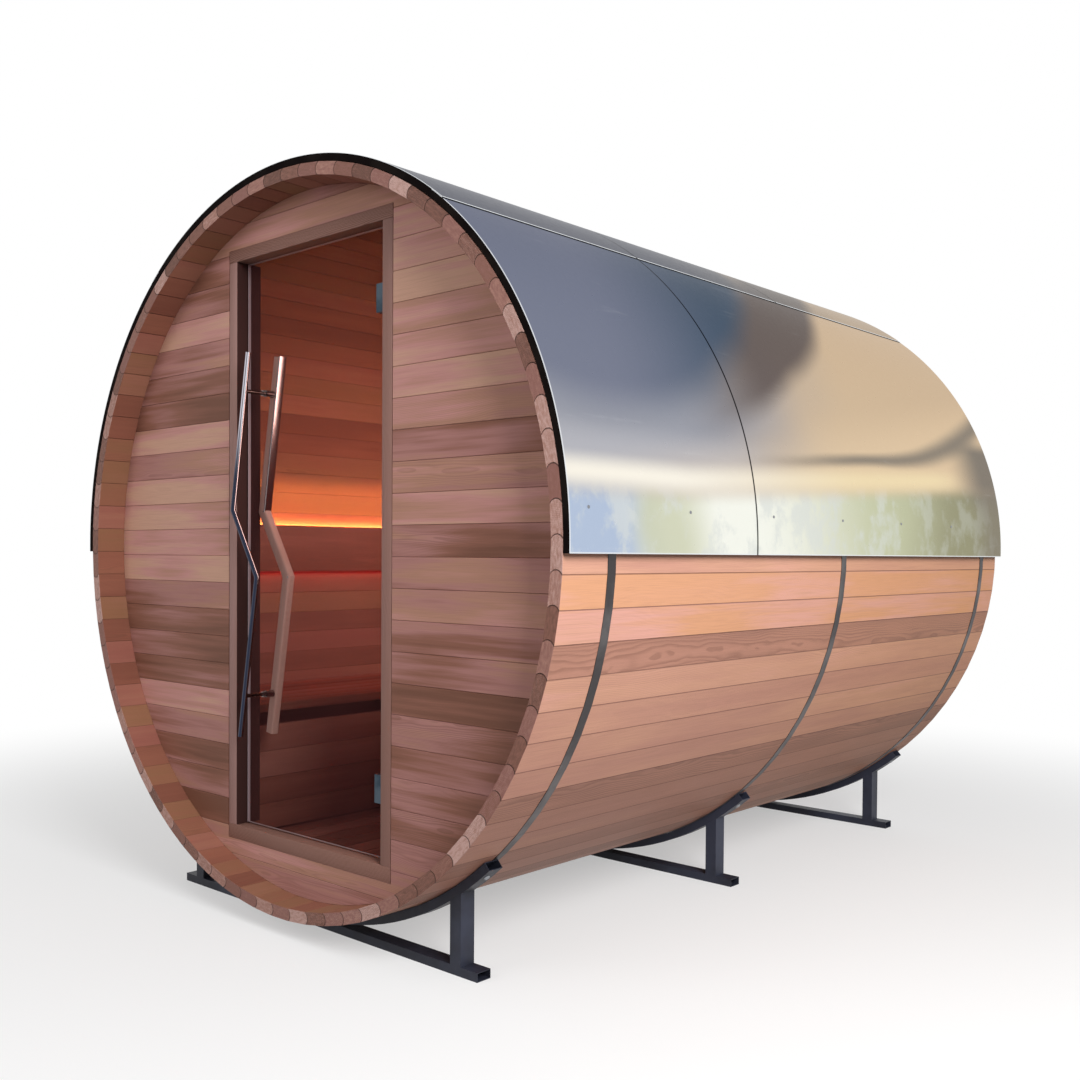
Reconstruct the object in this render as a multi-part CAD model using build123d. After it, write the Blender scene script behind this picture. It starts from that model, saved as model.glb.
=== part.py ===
from build123d import *
from math import asin, cos, degrees, radians, sin, sqrt, tan
import os

# Barrel sauna, in millimetres. Every piece is modelled about the barrel's own axis, with y
# counted from the front ends of the staves, and the whole is then lifted onto the ground.

# Staves: flat faces, a rounded bead on one edge and a matching cove on the other
stave_count = 82
barrel_radius = 1067.0
stave_length = 2590.0
stave_thickness = 35.0
bead_height = 10.0
bead_facets = 6
stave_joint_gap = 0.3
first_joint_angle = 1.3
wall_segments = 8

# End walls, set in from the stave ends
wall_recess = 98.0
wall_thickness = 38.0

# Door frame
frame_width = 764.0
frame_top_margin = 110.0
frame_bottom_margin = 115.0
frame_depth = 52.0
head_height = 38.0
jamb_width = 41.0
sill_height = 45.0
frame_side_gap = 3.0

# Door leaf, hung on the right jamb
glass_setback = 38.0
glass_thickness = 8.0
glass_side_gap = 6.0
glass_end_gap = 4.0

# Hinges
hinge_inset = 193.0
hinge_height = 80.0
clamp_width = 52.0
clamp_thickness = 5.0
leaf_thickness = 3.0
leaf_reach = 24.0
knuckle_radius = 6.0
knuckle_gap = 1.0
pin_radius = 3.0
pin_clearance = 0.05
pivot_from_edge = 5.0
pivot_from_glass = 7.0

# Handles: one bent bar on each face of the glass, joined through it at two places
bar_heights = (588.0, 111.0, -93.0, -583.0)
bar_offsets = (103.0, 24.0, 149.0, 65.0)
outer_bar_radius = 8.0
outer_bar_standoff = 60.0
inner_bar_width = 34.0
inner_bar_depth = 26.0
inner_bar_edge = 5.0
boss_length = 28.0
boss_radius = 11.0
stud_radius = 6.0
stud_hole_clearance = 1.0
stud_heights = (473.0, -457.0)
seat_gap = 0.3

# Bench and backrest along the left side
slat_width = 80.0
slat_gap = 4.4
seat_slat_gap = 2.8
slat_thickness = 28.0
slat_bevel = 3.0
bench_from_frame = 2.0
seat_height = 412.0
bearer_size = 38.0
bearer_count = 4
skirt_drop = 42.0
skirt_thickness = 20.0
skirt_board_height = 84.0
skirt_board_gap = 1.0
end_clearance = 2.0
backrest_standoff = 31.0
backrest_top = 90.0
backrest_height = 180.0
backrest_thickness = 20.0
backrest_block_height = 120.0
light_width = 12.0
light_height = 8.0

# Slatted floor
floor_below_sill = 4.0
floor_slat_thickness = 22.0
floor_bearer_thickness = 38.0
floor_bearer_count = 5

# Roof: an underlay over the upper half, with sheets lapped over it
eave_angle = 90.9
underlay_thickness = 17.6
sheet_thickness = 1.0
ridge_angle = 38.2
ridge_lap = 45.0
sheet_course = 800.0
sheet_joint = 1.0

# Hoops
hoop_width = 30.0
hoop_thickness = 1.6
hoop_front_inset = 180.0
hoop_middle_place = 1344.0
hoop_rear_inset = 140.0

# Cradles of rectangular steel tube
cradle_front_inset = 157.0
cradle_middle_place = 1364.0
cradle_rear_inset = 65.0
tube_width = 50.0
tube_height = 25.0
tube_wall = 2.0
saddle_half_angle = 41.2
base_width = 1360.0
post_inset = 60.0
post_width = 40.0

# Sizes that follow from the ones above
half_pitch = radians(180.0 / stave_count)
stave_outer = barrel_radius * cos(half_pitch)
stave_inner = stave_outer - stave_thickness
wall_radius = stave_inner - seat_gap
hoop_radius = (stave_outer + hoop_thickness) / cos(half_pitch)
axis_height = hoop_radius + 2 * tube_height
cabin_front = wall_recess + wall_thickness
cabin_back = stave_length - wall_recess - wall_thickness
frame_top = wall_radius - frame_top_margin
frame_bottom = wall_radius - frame_bottom_margin
half_frame = frame_width / 2
half_opening = half_frame - jamb_width
glass_half = half_opening - glass_side_gap
glass_front = wall_recess + glass_setback
glass_back = glass_front + glass_thickness
glass_top = frame_top - head_height - glass_end_gap
glass_bottom = -(frame_bottom - sill_height) + glass_end_gap
pivot_x = glass_half - pivot_from_edge
pivot_y = glass_front - pivot_from_glass
hinge_levels = (glass_top - hinge_inset, glass_bottom + hinge_inset)
bar_points = [(offset - half_opening, height) for offset, height in zip(bar_offsets, bar_heights)]
outer_bar_y = glass_front - outer_bar_standoff - outer_bar_radius
bench_front = half_frame + bench_from_frame
floor_top = frame_bottom + floor_below_sill
bench_top = floor_top - seat_height
backrest_face = stave_inner - backrest_standoff - backrest_thickness
underlay_inner = barrel_radius + hoop_thickness
underlay_outer = underlay_inner + underlay_thickness
sheet_inner = underlay_outer + seat_gap
ridge_inner = sheet_inner + sheet_thickness + seat_gap
hoop_places = (hoop_front_inset, hoop_middle_place, stave_length - hoop_rear_inset)
cradle_places = (cradle_front_inset, cradle_middle_place, stave_length - cradle_rear_inset)

place_part = Pos(0, -stave_length / 2, axis_height)


def slab(face, start, end):
    """Runs a face drawn across the barrel (x, height) from one y to another."""
    plane = Plane((0, start, 0), x_dir=(1, 0, 0), z_dir=(0, -1, 0))
    return extrude(plane * face, -(end - start))


def block(x0, x1, y0, y1, z0, z1):
    return Pos((x0 + x1) / 2, (y0 + y1) / 2, (z0 + z1) / 2) * Box(x1 - x0, y1 - y0, z1 - z0)


def point_at(radius, angle):
    """A point of the cross-section: the angle runs clockwise from the top, seen from the front."""
    return (radius * sin(radians(angle)), radius * cos(radians(angle)))


def ring_face(inner, outer, start, end):
    middle = (start + end) / 2
    edges = [
        ThreePointArc(point_at(outer, start), point_at(outer, middle), point_at(outer, end)),
        Line(point_at(outer, end), point_at(inner, end)),
        ThreePointArc(point_at(inner, end), point_at(inner, middle), point_at(inner, start)),
        Line(point_at(inner, start), point_at(outer, start)),
    ]
    return make_face(edges)


def inside_barrel(start, end):
    """The space inside the staves' inner faces, less a seating gap."""
    return slab(Circle(wall_radius), start, end)


def spread(count, start, end, width):
    """Places count pieces of one width evenly, the outer ones flush with both ends."""
    step = (end - start - width) / (count - 1)
    return [start + number * step for number in range(count)]


# Barrel staves
def bead_line(outer, inner, bulge):
    """The rounded joint line from a stave's outer corner to its inner one, in short flats."""
    half = (inner - outer).length / 2
    radius = (half ** 2 + bead_height ** 2) / (2 * bead_height)
    along = (inner - outer).normalized()
    points = []
    for step in range(bead_facets + 1):
        turn = asin(half / radius) * (2 * step / bead_facets - 1)
        rise = radius * cos(turn) - radius + bead_height
        points.append((outer + inner) * 0.5 + along * radius * sin(turn) + bulge * rise)
    return points


def stave_face():
    outer_corner = barrel_radius * sin(half_pitch)
    inner_corner = stave_inner * tan(half_pitch)
    to_left = Vector(-cos(half_pitch), -sin(half_pitch))
    to_right_joint = Vector(-cos(half_pitch), sin(half_pitch))
    gap = Vector(-stave_joint_gap, 0)
    bead = bead_line(Vector(-outer_corner, stave_outer), Vector(-inner_corner, stave_inner), to_left)
    cove = bead_line(Vector(outer_corner, stave_outer) + gap, Vector(inner_corner, stave_inner) + gap,
                     to_right_joint)
    return make_face(Polyline(*bead, *reversed(cove), close=True))


def stave_segments():
    one = slab(stave_face(), 0, stave_length)
    pitch = 360.0 / stave_count
    names = ("top", "upper_right", "right", "lower_right", "bottom", "lower_left", "left", "upper_left")
    half_segment = stave_count / wall_segments / 2
    segments = {}
    for number, name in enumerate(names):
        first = round(number * stave_count / wall_segments - half_segment)
        last = round((number + 1) * stave_count / wall_segments - half_segment)
        turns = [first_joint_angle + (index + 0.5) * pitch for index in range(first, last)]
        segments["staves_" + name] = Compound([Rot(0, turn, 0) * one for turn in turns])
    return segments


# End walls
def front_wall():
    disc = slab(Circle(wall_radius), wall_recess, cabin_front)
    edge = half_frame + frame_side_gap
    far = barrel_radius
    return {
        "front_wall_left": disc & block(-far, -edge, 0, stave_length, -far, far),
        "front_wall_right": disc & block(edge, far, 0, stave_length, -far, far),
        "front_wall_over_door": disc & block(-edge, edge, 0, stave_length, frame_top, far),
        "front_wall_under_door": disc & block(-edge, edge, 0, stave_length, -far, -frame_bottom),
    }


def back_wall():
    return slab(Circle(wall_radius), cabin_back, stave_length - wall_recess)


# Door frame
def door_frame():
    back = wall_recess + frame_depth
    under_head = frame_top - head_height
    over_sill = -(frame_bottom - sill_height)
    return {
        "door_head": block(-half_frame, half_frame, wall_recess, back, under_head, frame_top),
        "door_sill": block(-half_frame, half_frame, wall_recess, back, -frame_bottom, over_sill),
        "door_jamb_left": block(-half_frame, -half_opening, wall_recess, back, over_sill, under_head),
        "door_jamb_right": block(half_opening, half_frame, wall_recess, back, over_sill, under_head),
    }


# Door leaf
def stud_places():
    """Where the handles are bolted through the glass: on the bars' first and last runs."""
    places = []
    for height, (start, end) in zip(stud_heights, ((0, 1), (3, 2))):
        (x0, z0), (x1, z1) = bar_points[start], bar_points[end]
        places.append((x0 + (x1 - x0) * (height - z0) / (z1 - z0), height))
    return places


def door_glass():
    sheet = Pos(0, (glass_top + glass_bottom) / 2) * Rectangle(2 * glass_half, glass_top - glass_bottom)
    for place in stud_places():
        sheet -= Pos(*place) * Circle(stud_radius + stud_hole_clearance)
    return slab(sheet, glass_front, glass_back)


def outer_handle():
    path = Polyline(*[(x, outer_bar_y, z) for x, z in bar_points])
    section = Plane(origin=path @ 0, z_dir=path % 0) * Circle(outer_bar_radius)
    handle = sweep(section, path=path, transition=Transition.RIGHT)
    for place in stud_places():
        handle += slab(Pos(*place) * Circle(stud_radius), outer_bar_y, glass_back)
    return handle


def bent_strip(points, width):
    """The outline of a flat bar of one width along a bent line, mitred at its bends."""
    def side(turn):
        edge = []
        for index, (x, z) in enumerate(points):
            before = points[max(index - 1, 0)]
            after = points[min(index + 1, len(points) - 1)]
            runs = [Vector(x - before[0], z - before[1]), Vector(after[0] - x, after[1] - z)]
            ways = [run.normalized() for run in runs if run.length > 0]
            along = sum(ways[1:], ways[0]).normalized()
            reach = width / 2 / cos(radians(along.get_angle(ways[0])))
            edge.append((x - turn * along.Y * reach, z + turn * along.X * reach))
        return edge
    return make_face(Polyline(*side(1), *reversed(side(-1)), close=True))


def inner_handle():
    start = glass_back + boss_length
    bar = slab(bent_strip(bar_points, inner_bar_width), start, start + inner_bar_depth)
    rear_edges = bar.edges().filter_by_position(Axis.Y, start + inner_bar_depth, start + inner_bar_depth)
    return chamfer(rear_edges, inner_bar_edge)


def handle_bosses():
    """The bosses that hold the inner bar off the glass, over the ends of the outer bar's studs."""
    return Compound([slab(Pos(*place) * Circle(boss_radius), glass_back, glass_back + boss_length)
                     for place in stud_places()])


# Hinges
def knuckle(low, high, radius):
    return Pos(pivot_x, pivot_y, (low + high) / 2) * Cylinder(radius, high - low)


def hinge_clamp(level):
    """The two plates that grip the glass, with the upper knuckle bored for the pin."""
    low, high = level - hinge_height / 2, level + hinge_height / 2
    edge = pivot_x - clamp_width
    split = level + knuckle_gap / 2
    front = block(edge, pivot_x, glass_front - clamp_thickness, glass_front, low, high)
    front -= knuckle(low, split, knuckle_radius + knuckle_gap)
    front += knuckle(split, high, knuckle_radius)
    front -= knuckle(low, high, pin_radius + pin_clearance)
    rear = block(edge, pivot_x, glass_back, glass_back + clamp_thickness, low, high)
    return [front, rear]


def hinge_leaf(level):
    """The leaf on the jamb, with the lower knuckle and the pin."""
    low, high = level - hinge_height / 2, level + hinge_height / 2
    split = level - knuckle_gap / 2
    face = half_opening - leaf_thickness
    rear = pivot_y + knuckle_radius
    leaf = block(face, half_opening, rear - leaf_reach, rear, low, high)
    leaf += block(pivot_x, face, pivot_y - knuckle_radius, rear, low, split)
    leaf += knuckle(low, split, knuckle_radius)
    return leaf + knuckle(low, high, pin_radius)


# Bench, backrest and floor
def slat(left, start, end, top, thickness):
    body = block(left, left + slat_width, start, end, top - thickness, top)
    return chamfer(body.edges().filter_by(Axis.Y).group_by(Axis.Z)[-1], slat_bevel)


def bench_seat():
    back_room = sqrt(stave_inner ** 2 - (bench_top + slat_thickness) ** 2)
    step = slat_width + seat_slat_gap
    count = int((back_room - bench_front + seat_slat_gap) // step)
    start, end = cabin_front + end_clearance, cabin_back - end_clearance
    lefts = [-bench_front - slat_width - number * step for number in range(count)]
    return Compound([slat(left, start, end, -bench_top, slat_thickness) for left in lefts])


def bench_places():
    start, end = cabin_front + end_clearance, cabin_back - end_clearance
    return spread(bearer_count, start, end, bearer_size)


def bench_frame():
    """A bearer under the slats at each place, on a post behind the skirt."""
    under_seat = -(bench_top + slat_thickness)
    under_bearer = under_seat - bearer_size
    front = -(bench_front + skirt_thickness)
    frames = []
    for start in bench_places():
        end = start + bearer_size
        bearer = block(-barrel_radius, front, start, end, under_bearer, under_seat)
        post = block(front - bearer_size, front, start, end, -barrel_radius, under_bearer)
        frames.append((bearer + post) & inside_barrel(start, end))
    return Compound(frames)


def bench_skirt():
    top = -(bench_top + slat_thickness + skirt_drop)
    step = skirt_board_height + skirt_board_gap
    count = int((floor_top + top) // step)
    face = -bench_front
    start, end = cabin_front + end_clearance, cabin_back - end_clearance
    tops = [top - number * step for number in range(count)]
    return Compound([block(face - skirt_thickness, face, start, end, high - skirt_board_height, high)
                     for high in tops])


def backrest_board():
    low = backrest_top - backrest_height
    start, end = cabin_front + end_clearance, cabin_back - end_clearance
    board = block(-backrest_face - backrest_thickness, -backrest_face, start, end, low, backrest_top)
    return chamfer(board.edges().filter_by(Axis.Y).group_by(Axis.X)[-1], slat_bevel)


def backrest_blocks():
    """Packers between the backrest and the wall at the bearers' places."""
    rear = -(backrest_face + backrest_thickness)
    middle = backrest_top - backrest_height / 2
    half = backrest_block_height / 2
    blocks = [block(-barrel_radius, rear, start, start + bearer_size, middle - half, middle + half)
              & inside_barrel(start, start + bearer_size) for start in bench_places()]
    return Compound(blocks)


def backrest_lights():
    """A light strip along the upper and the lower edge, on the board's rear face."""
    rear = -(backrest_face + backrest_thickness)
    start, end = cabin_front + end_clearance, cabin_back - end_clearance
    low = backrest_top - backrest_height
    return Compound([block(rear - light_width, rear, start, end, bottom, bottom + light_height)
                     for bottom in (backrest_top - light_height, low)])


def floor_slats():
    step = slat_width + slat_gap
    count = int((2 * bench_front + slat_gap) // step)
    width = count * step - slat_gap
    start, end = cabin_front + end_clearance, cabin_back - end_clearance
    return Compound([slat(-width / 2 + number * step, start, end, -floor_top, floor_slat_thickness)
                     for number in range(count)])


def floor_bearers():
    top = -(floor_top + floor_slat_thickness)
    start, end = cabin_front + end_clearance, cabin_back - end_clearance
    places = spread(floor_bearer_count, start, end, floor_bearer_thickness)
    half_width = bench_front
    return Compound([block(-half_width, half_width, start, start + floor_bearer_thickness,
                           -barrel_radius, top) & inside_barrel(start, start + floor_bearer_thickness)
                     for start in places])


# Roof
def underlay():
    inner, outer = underlay_inner, underlay_outer
    return {
        "roof_underlay_left": slab(ring_face(inner, outer, -eave_angle, -ridge_angle), 0, stave_length),
        "roof_underlay_ridge": slab(ring_face(inner, outer, -ridge_angle, ridge_angle), 0, stave_length),
        "roof_underlay_right": slab(ring_face(inner, outer, ridge_angle, eave_angle), 0, stave_length),
    }


def side_sheets(side):
    """The sheets of one side, in two courses, running in under the ridge sheets."""
    lap_angle = degrees(ridge_lap / sheet_inner)
    start, end = sorted((side * (ridge_angle - lap_angle), side * eave_angle))
    face = ring_face(sheet_inner, sheet_inner + sheet_thickness, start, end)
    seam = sheet_course
    return Compound([slab(face, 0, seam), slab(face, seam + sheet_joint, stave_length)])


def ridge_sheets():
    face = ring_face(ridge_inner, ridge_inner + sheet_thickness, -ridge_angle, ridge_angle)
    ends = (sheet_course, 2 * sheet_course + sheet_joint, stave_length)
    starts = (0, sheet_course + sheet_joint, 2 * (sheet_course + sheet_joint))
    return Compound([slab(face, start, end) for start, end in zip(starts, ends)])


# Hoops and cradles
def flat_ring(radius):
    """A closed outline with one flat side to each stave."""
    turns = [first_joint_angle + index * 360.0 / stave_count for index in range(stave_count)]
    return make_face(Polyline(*[point_at(radius, turn) for turn in turns], close=True))


def hoops():
    face = flat_ring(hoop_radius) - flat_ring(barrel_radius)
    half = hoop_width / 2
    return Compound([slab(face, place - half, place + half) for place in hoop_places])


def saddle_top(place):
    """A saddle bears on the hoop where it crosses one, and on the staves elsewhere."""
    reach = (tube_width + hoop_width) / 2
    return hoop_radius if any(abs(place - hoop) < reach for hoop in hoop_places) else barrel_radius


def saddle(place):
    """A rolled rectangular tube under the barrel, open at both ends."""
    start, end = 180 - saddle_half_angle, 180 + saddle_half_angle
    half = tube_width / 2
    inner = saddle_top(place)
    outer = slab(ring_face(inner, inner + tube_height, start, end), place - half, place + half)
    hollow = ring_face(inner + tube_wall, inner + tube_height - tube_wall, start, end)
    return outer - slab(hollow, place - half + tube_wall, place + half - tube_wall)


def rail(place):
    """A straight tube on the ground, under the middle of the saddle."""
    half = tube_width / 2
    low, high = -axis_height, -axis_height + tube_height
    tube = block(-base_width / 2, base_width / 2, place - half, place + half, low, high)
    return tube - block(-base_width, base_width, place - half + tube_wall, place + half - tube_wall,
                        low + tube_wall, high - tube_wall)


def posts(place):
    """Two short posts from the rail up to the saddle."""
    half = tube_width / 2
    low = -axis_height + tube_height
    far = base_width / 2 - post_inset
    outside = slab(Circle(saddle_top(place) + tube_height), place - half, place + half)
    left = block(-far, -far + post_width, place - half, place + half, low, -barrel_radius / 2)
    right = block(far - post_width, far, place - half, place + half, low, -barrel_radius / 2)
    return [left - outside, right - outside]


def build():
    nodes = {}
    nodes.update(stave_segments())
    nodes.update(front_wall())
    nodes["back_wall"] = back_wall()
    nodes.update(door_frame())
    nodes["door_glass"] = door_glass()
    nodes["door_handle_outer"] = outer_handle()
    nodes["door_handle_inner"] = inner_handle()
    nodes["door_handle_bosses"] = handle_bosses()
    nodes["door_hinge_clamps"] = Compound([piece for level in hinge_levels for piece in hinge_clamp(level)])
    nodes["jamb_hinge_leaves"] = Compound([hinge_leaf(level) for level in hinge_levels])
    nodes["bench_seat"] = bench_seat()
    nodes["bench_frame"] = bench_frame()
    nodes["bench_skirt"] = bench_skirt()
    nodes["backrest_board"] = backrest_board()
    nodes["backrest_blocks"] = backrest_blocks()
    nodes["backrest_lights"] = backrest_lights()
    nodes["floor_slats"] = floor_slats()
    nodes["floor_bearers"] = floor_bearers()
    nodes.update(underlay())
    nodes["roof_sheets_left"] = side_sheets(-1)
    nodes["roof_sheets_right"] = side_sheets(1)
    nodes["roof_sheets_ridge"] = ridge_sheets()
    nodes["hoops"] = hoops()
    nodes["cradle_saddles"] = Compound([saddle(place) for place in cradle_places])
    nodes["cradle_rails"] = Compound([rail(place) for place in cradle_places])
    nodes["cradle_posts"] = Compound([post for place in cradle_places for post in posts(place)])
    return nodes


os.makedirs("parts", exist_ok=True)
for name, shape in build().items():
    export_step(place_part * shape, f"parts/{name}.step")
print("hinge pivot", pivot_x, pivot_y - stave_length / 2, axis_height)
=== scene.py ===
import math
import random

import bmesh
import bpy
from mathutils import Matrix, Vector


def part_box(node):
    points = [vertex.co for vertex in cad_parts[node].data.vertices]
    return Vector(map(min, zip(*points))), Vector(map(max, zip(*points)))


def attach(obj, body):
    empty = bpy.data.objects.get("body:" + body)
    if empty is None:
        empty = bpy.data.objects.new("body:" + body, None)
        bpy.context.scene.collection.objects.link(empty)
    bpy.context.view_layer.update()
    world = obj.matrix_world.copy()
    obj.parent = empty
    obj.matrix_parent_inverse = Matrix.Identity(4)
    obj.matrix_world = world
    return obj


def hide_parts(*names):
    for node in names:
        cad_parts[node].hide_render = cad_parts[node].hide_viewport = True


# Barrel sauna: cedar staves, a boarded front with a glass door, a half roof of sheet metal.
# Lengths are in metres. Angles are in degrees, clockwise from the top, seen from the front.

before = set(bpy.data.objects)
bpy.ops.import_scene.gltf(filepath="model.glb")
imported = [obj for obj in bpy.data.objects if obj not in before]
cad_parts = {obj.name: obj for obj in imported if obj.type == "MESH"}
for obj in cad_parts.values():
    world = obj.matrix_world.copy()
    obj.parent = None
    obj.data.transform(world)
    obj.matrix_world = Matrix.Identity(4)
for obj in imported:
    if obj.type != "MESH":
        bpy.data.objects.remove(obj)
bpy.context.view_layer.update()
print("frame loaded:", len(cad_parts), "nodes")

hoopLow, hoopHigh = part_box("hoops")
axisHeight = (hoopLow.z + hoopHigh.z) / 2
frontEnd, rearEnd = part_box("staves_top")[0].y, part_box("staves_top")[1].y


# node trees

class Field:
    # a node's output that can be added and multiplied like a number
    def __init__(self, tree, socket):
        self.tree = tree
        self.socket = socket

    def __add__(self, other):
        return calc(self.tree, "ADD", self, other)

    def __radd__(self, other):
        return calc(self.tree, "ADD", other, self)

    def __sub__(self, other):
        return calc(self.tree, "SUBTRACT", self, other)

    def __rsub__(self, other):
        return calc(self.tree, "SUBTRACT", other, self)

    def __mul__(self, other):
        return calc(self.tree, "MULTIPLY", self, other)

    def __abs__(self):
        return calc(self.tree, "ABSOLUTE", self)

    def remap(self, low, high, newLow=0.0, newHigh=1.0, smooth=True):
        kind = "SMOOTHSTEP" if smooth else "LINEAR"
        node = addNode(self.tree, "ShaderNodeMapRange", interpolation_type=kind)
        for index, number in enumerate((self, low, high, newLow, newHigh)):
            feed(node.inputs[index], number)
        return Field(self.tree, node.outputs[0])


def addNode(tree, kind, **settings):
    node = tree.nodes.new(kind)
    for key, value in settings.items():
        setattr(node, key, value)
    return node


def feed(socket, value):
    if isinstance(value, Field):
        value.tree.links.new(value.socket, socket)
    else:
        socket.default_value = value


def calc(tree, operation, *values, clamp=False):
    node = addNode(tree, "ShaderNodeMath", operation=operation, use_clamp=clamp)
    for socket, value in zip(node.inputs, values):
        feed(socket, value)
    return Field(tree, node.outputs[0])


def vectorCalc(tree, operation, *values):
    node = addNode(tree, "ShaderNodeVectorMath", operation=operation)
    for socket, value in zip(node.inputs, values):
        feed(socket, value)
    return Field(tree, node.outputs[0])


def splitVector(vector):
    node = addNode(vector.tree, "ShaderNodeSeparateXYZ")
    feed(node.inputs[0], vector)
    return [Field(vector.tree, output) for output in node.outputs]


def joinVector(tree, x, y, z):
    node = addNode(tree, "ShaderNodeCombineXYZ")
    for socket, value in zip(node.inputs, (x, y, z)):
        feed(socket, value)
    return Field(tree, node.outputs[0])


def noise(vector, stretch, detail=2.0, roughness=0.5):
    node = addNode(vector.tree, "ShaderNodeTexNoise")
    feed(node.inputs["Vector"], vectorCalc(vector.tree, "MULTIPLY", vector, stretch))
    for name, value in (("Scale", 1.0), ("Detail", detail), ("Roughness", roughness)):
        node.inputs[name].default_value = value
    return Field(vector.tree, node.outputs[0])


def mixColors(tree, factor, first, second, blend="MIX"):
    node = addNode(tree, "ShaderNodeMix", data_type="RGBA", blend_type=blend)
    for index, value in ((0, factor), (6, first), (7, second)):
        feed(node.inputs[index], (*value, 1.0) if isinstance(value, tuple) else value)
    return Field(tree, node.outputs[2])


def colorRamp(factor, stops):
    node = addNode(factor.tree, "ShaderNodeValToRGB")
    feed(node.inputs[0], factor)
    while len(node.color_ramp.elements) < len(stops):
        node.color_ramp.elements.new(1.0)
    for element, (place, color) in zip(node.color_ramp.elements, stops):
        element.position = place
        element.color = (*color, 1.0)
    return Field(factor.tree, node.outputs[0])


def attribute(tree, name, output):
    return Field(tree, addNode(tree, "ShaderNodeAttribute", attribute_name=name).outputs[output])


def objectSpot(tree):
    return Field(tree, addNode(tree, "ShaderNodeTexCoord").outputs["Object"])


def bump(shader, height, strength, distance):
    node = addNode(height.tree, "ShaderNodeBump")
    for name, value in (("Height", height), ("Strength", strength), ("Distance", distance)):
        feed(node.inputs[name], value)
    height.tree.links.new(node.outputs[0], shader.inputs["Normal"])


def newMaterial(name, **values):
    material = bpy.data.materials.new(name)
    material.use_nodes = True
    shader = material.node_tree.nodes["Principled BSDF"]
    for socket, value in values.items():
        shader.inputs[socket].default_value = value
    return material, material.node_tree, shader


# meshes

def makeObject(name, verts, faces, material=None):
    mesh = bpy.data.meshes.new(name)
    mesh.from_pydata([tuple(v) for v in verts], [], [tuple(f) for f in faces])
    mesh.update()
    piece = bpy.data.objects.new(name, mesh)
    bpy.context.scene.collection.objects.link(piece)
    if material:
        mesh.materials.append(material)
    return piece


def fromBmesh(bm, name, material=None):
    bmesh.ops.recalc_face_normals(bm, faces=bm.faces)
    piece = makeObject(name, [], [], material)
    bm.to_mesh(piece.data)
    bm.free()
    return piece


def smoothByAngle(piece, degrees=35):
    mesh = piece.data
    mesh.polygons.foreach_set("use_smooth", [True] * len(mesh.polygons))
    mesh.set_sharp_from_angle(angle=math.radians(degrees))
    return piece


def setAttribute(mesh, name, kind, values, domain="POINT"):
    layer = mesh.attributes.new(name, kind, domain)
    if kind == "FLOAT_VECTOR":
        layer.data.foreach_set("vector", [c for v in values for c in v])
    else:
        layer.data.foreach_set("value", values)


# boards drawn by number get a tone between 0 and the palest one
def spreadTones(piece, palest=1.0):
    seeds = piece.data.attributes["boardSeed"].data
    setAttribute(piece.data, "boardTone", "FLOAT", [palest * (item.value * 17.31 % 1.0) for item in seeds])
    return piece


# puts a finished piece on its body, in place of the plain solids
def place(piece, body, slotName, *nodes):
    if nodes:
        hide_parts(*nodes)
    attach(piece, body)
    return piece


def plainBox(bm, low, high):
    made = bmesh.ops.create_cube(bm, size=1.0)["verts"]
    size, centre = Vector(high) - Vector(low), (Vector(high) + Vector(low)) / 2
    for v in made:
        v.co = Vector(c * s for c, s in zip(v.co, size)) + centre
    return made


def bevelledBox(bm, low, high, bevel, segments=2):
    edges = {e for v in plainBox(bm, low, high) for e in v.link_edges}
    bmesh.ops.bevel(bm, geom=list(edges), offset=bevel, segments=segments, affect="EDGES", profile=0.5)


# boards as bevelled boxes in one mesh, each given as (low, high, axis of its grain, seed)
def boardPiece(name, boards, material, bevel=0.0015, palest=1.0):
    verts, faces, grain, seeds = [], [], [], []
    for low, high, axis, seed in boards:
        bm = bmesh.new()
        bevelledBox(bm, low, high, bevel)
        bm.verts.ensure_lookup_table()
        centre, size = (Vector(high) + Vector(low)) / 2, Vector(high) - Vector(low)
        others = sorted((i for i in range(3) if i != axis), key=lambda i: -size[i])
        start = len(verts)
        for v in bm.verts:
            local = v.co - centre
            verts.append(v.co.copy())
            grain.append((local[others[0]], local[others[1]], v.co[axis]))
            seeds.append(seed)
        faces += [[start + v.index for v in f.verts] for f in bm.faces]
        bm.free()
    piece = makeObject(name, verts, faces, material)
    setAttribute(piece.data, "grain", "FLOAT_VECTOR", grain)
    setAttribute(piece.data, "boardSeed", "FLOAT", seeds)
    return smoothByAngle(spreadTones(piece, palest), 40)


# a low domed screw head that stands on its own foot
def panHead(radius, height, steps=12):
    bm = bmesh.new()
    profile = [(radius, 0.0), (radius * 0.96, height * 0.35), (radius * 0.72, height * 0.85),
               (radius * 0.30, height)]
    rings = [[bm.verts.new((r * math.cos(math.tau * i / steps), r * math.sin(math.tau * i / steps), h))
              for i in range(steps)] for r, h in profile]
    for a, b in zip(rings, rings[1:]):
        for i in range(steps):
            bm.faces.new((a[i], a[(i + 1) % steps], b[(i + 1) % steps], b[i]))
    bm.faces.new(rings[-1])
    bm.faces.new(rings[0][::-1])
    return fromBmesh(bm, "panHead")


# the way out from the barrel's axis at an angle from the top
def outwardAt(degrees):
    turn = math.radians(degrees)
    return Vector((math.sin(turn), 0, math.cos(turn)))


# geometry node trees

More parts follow.
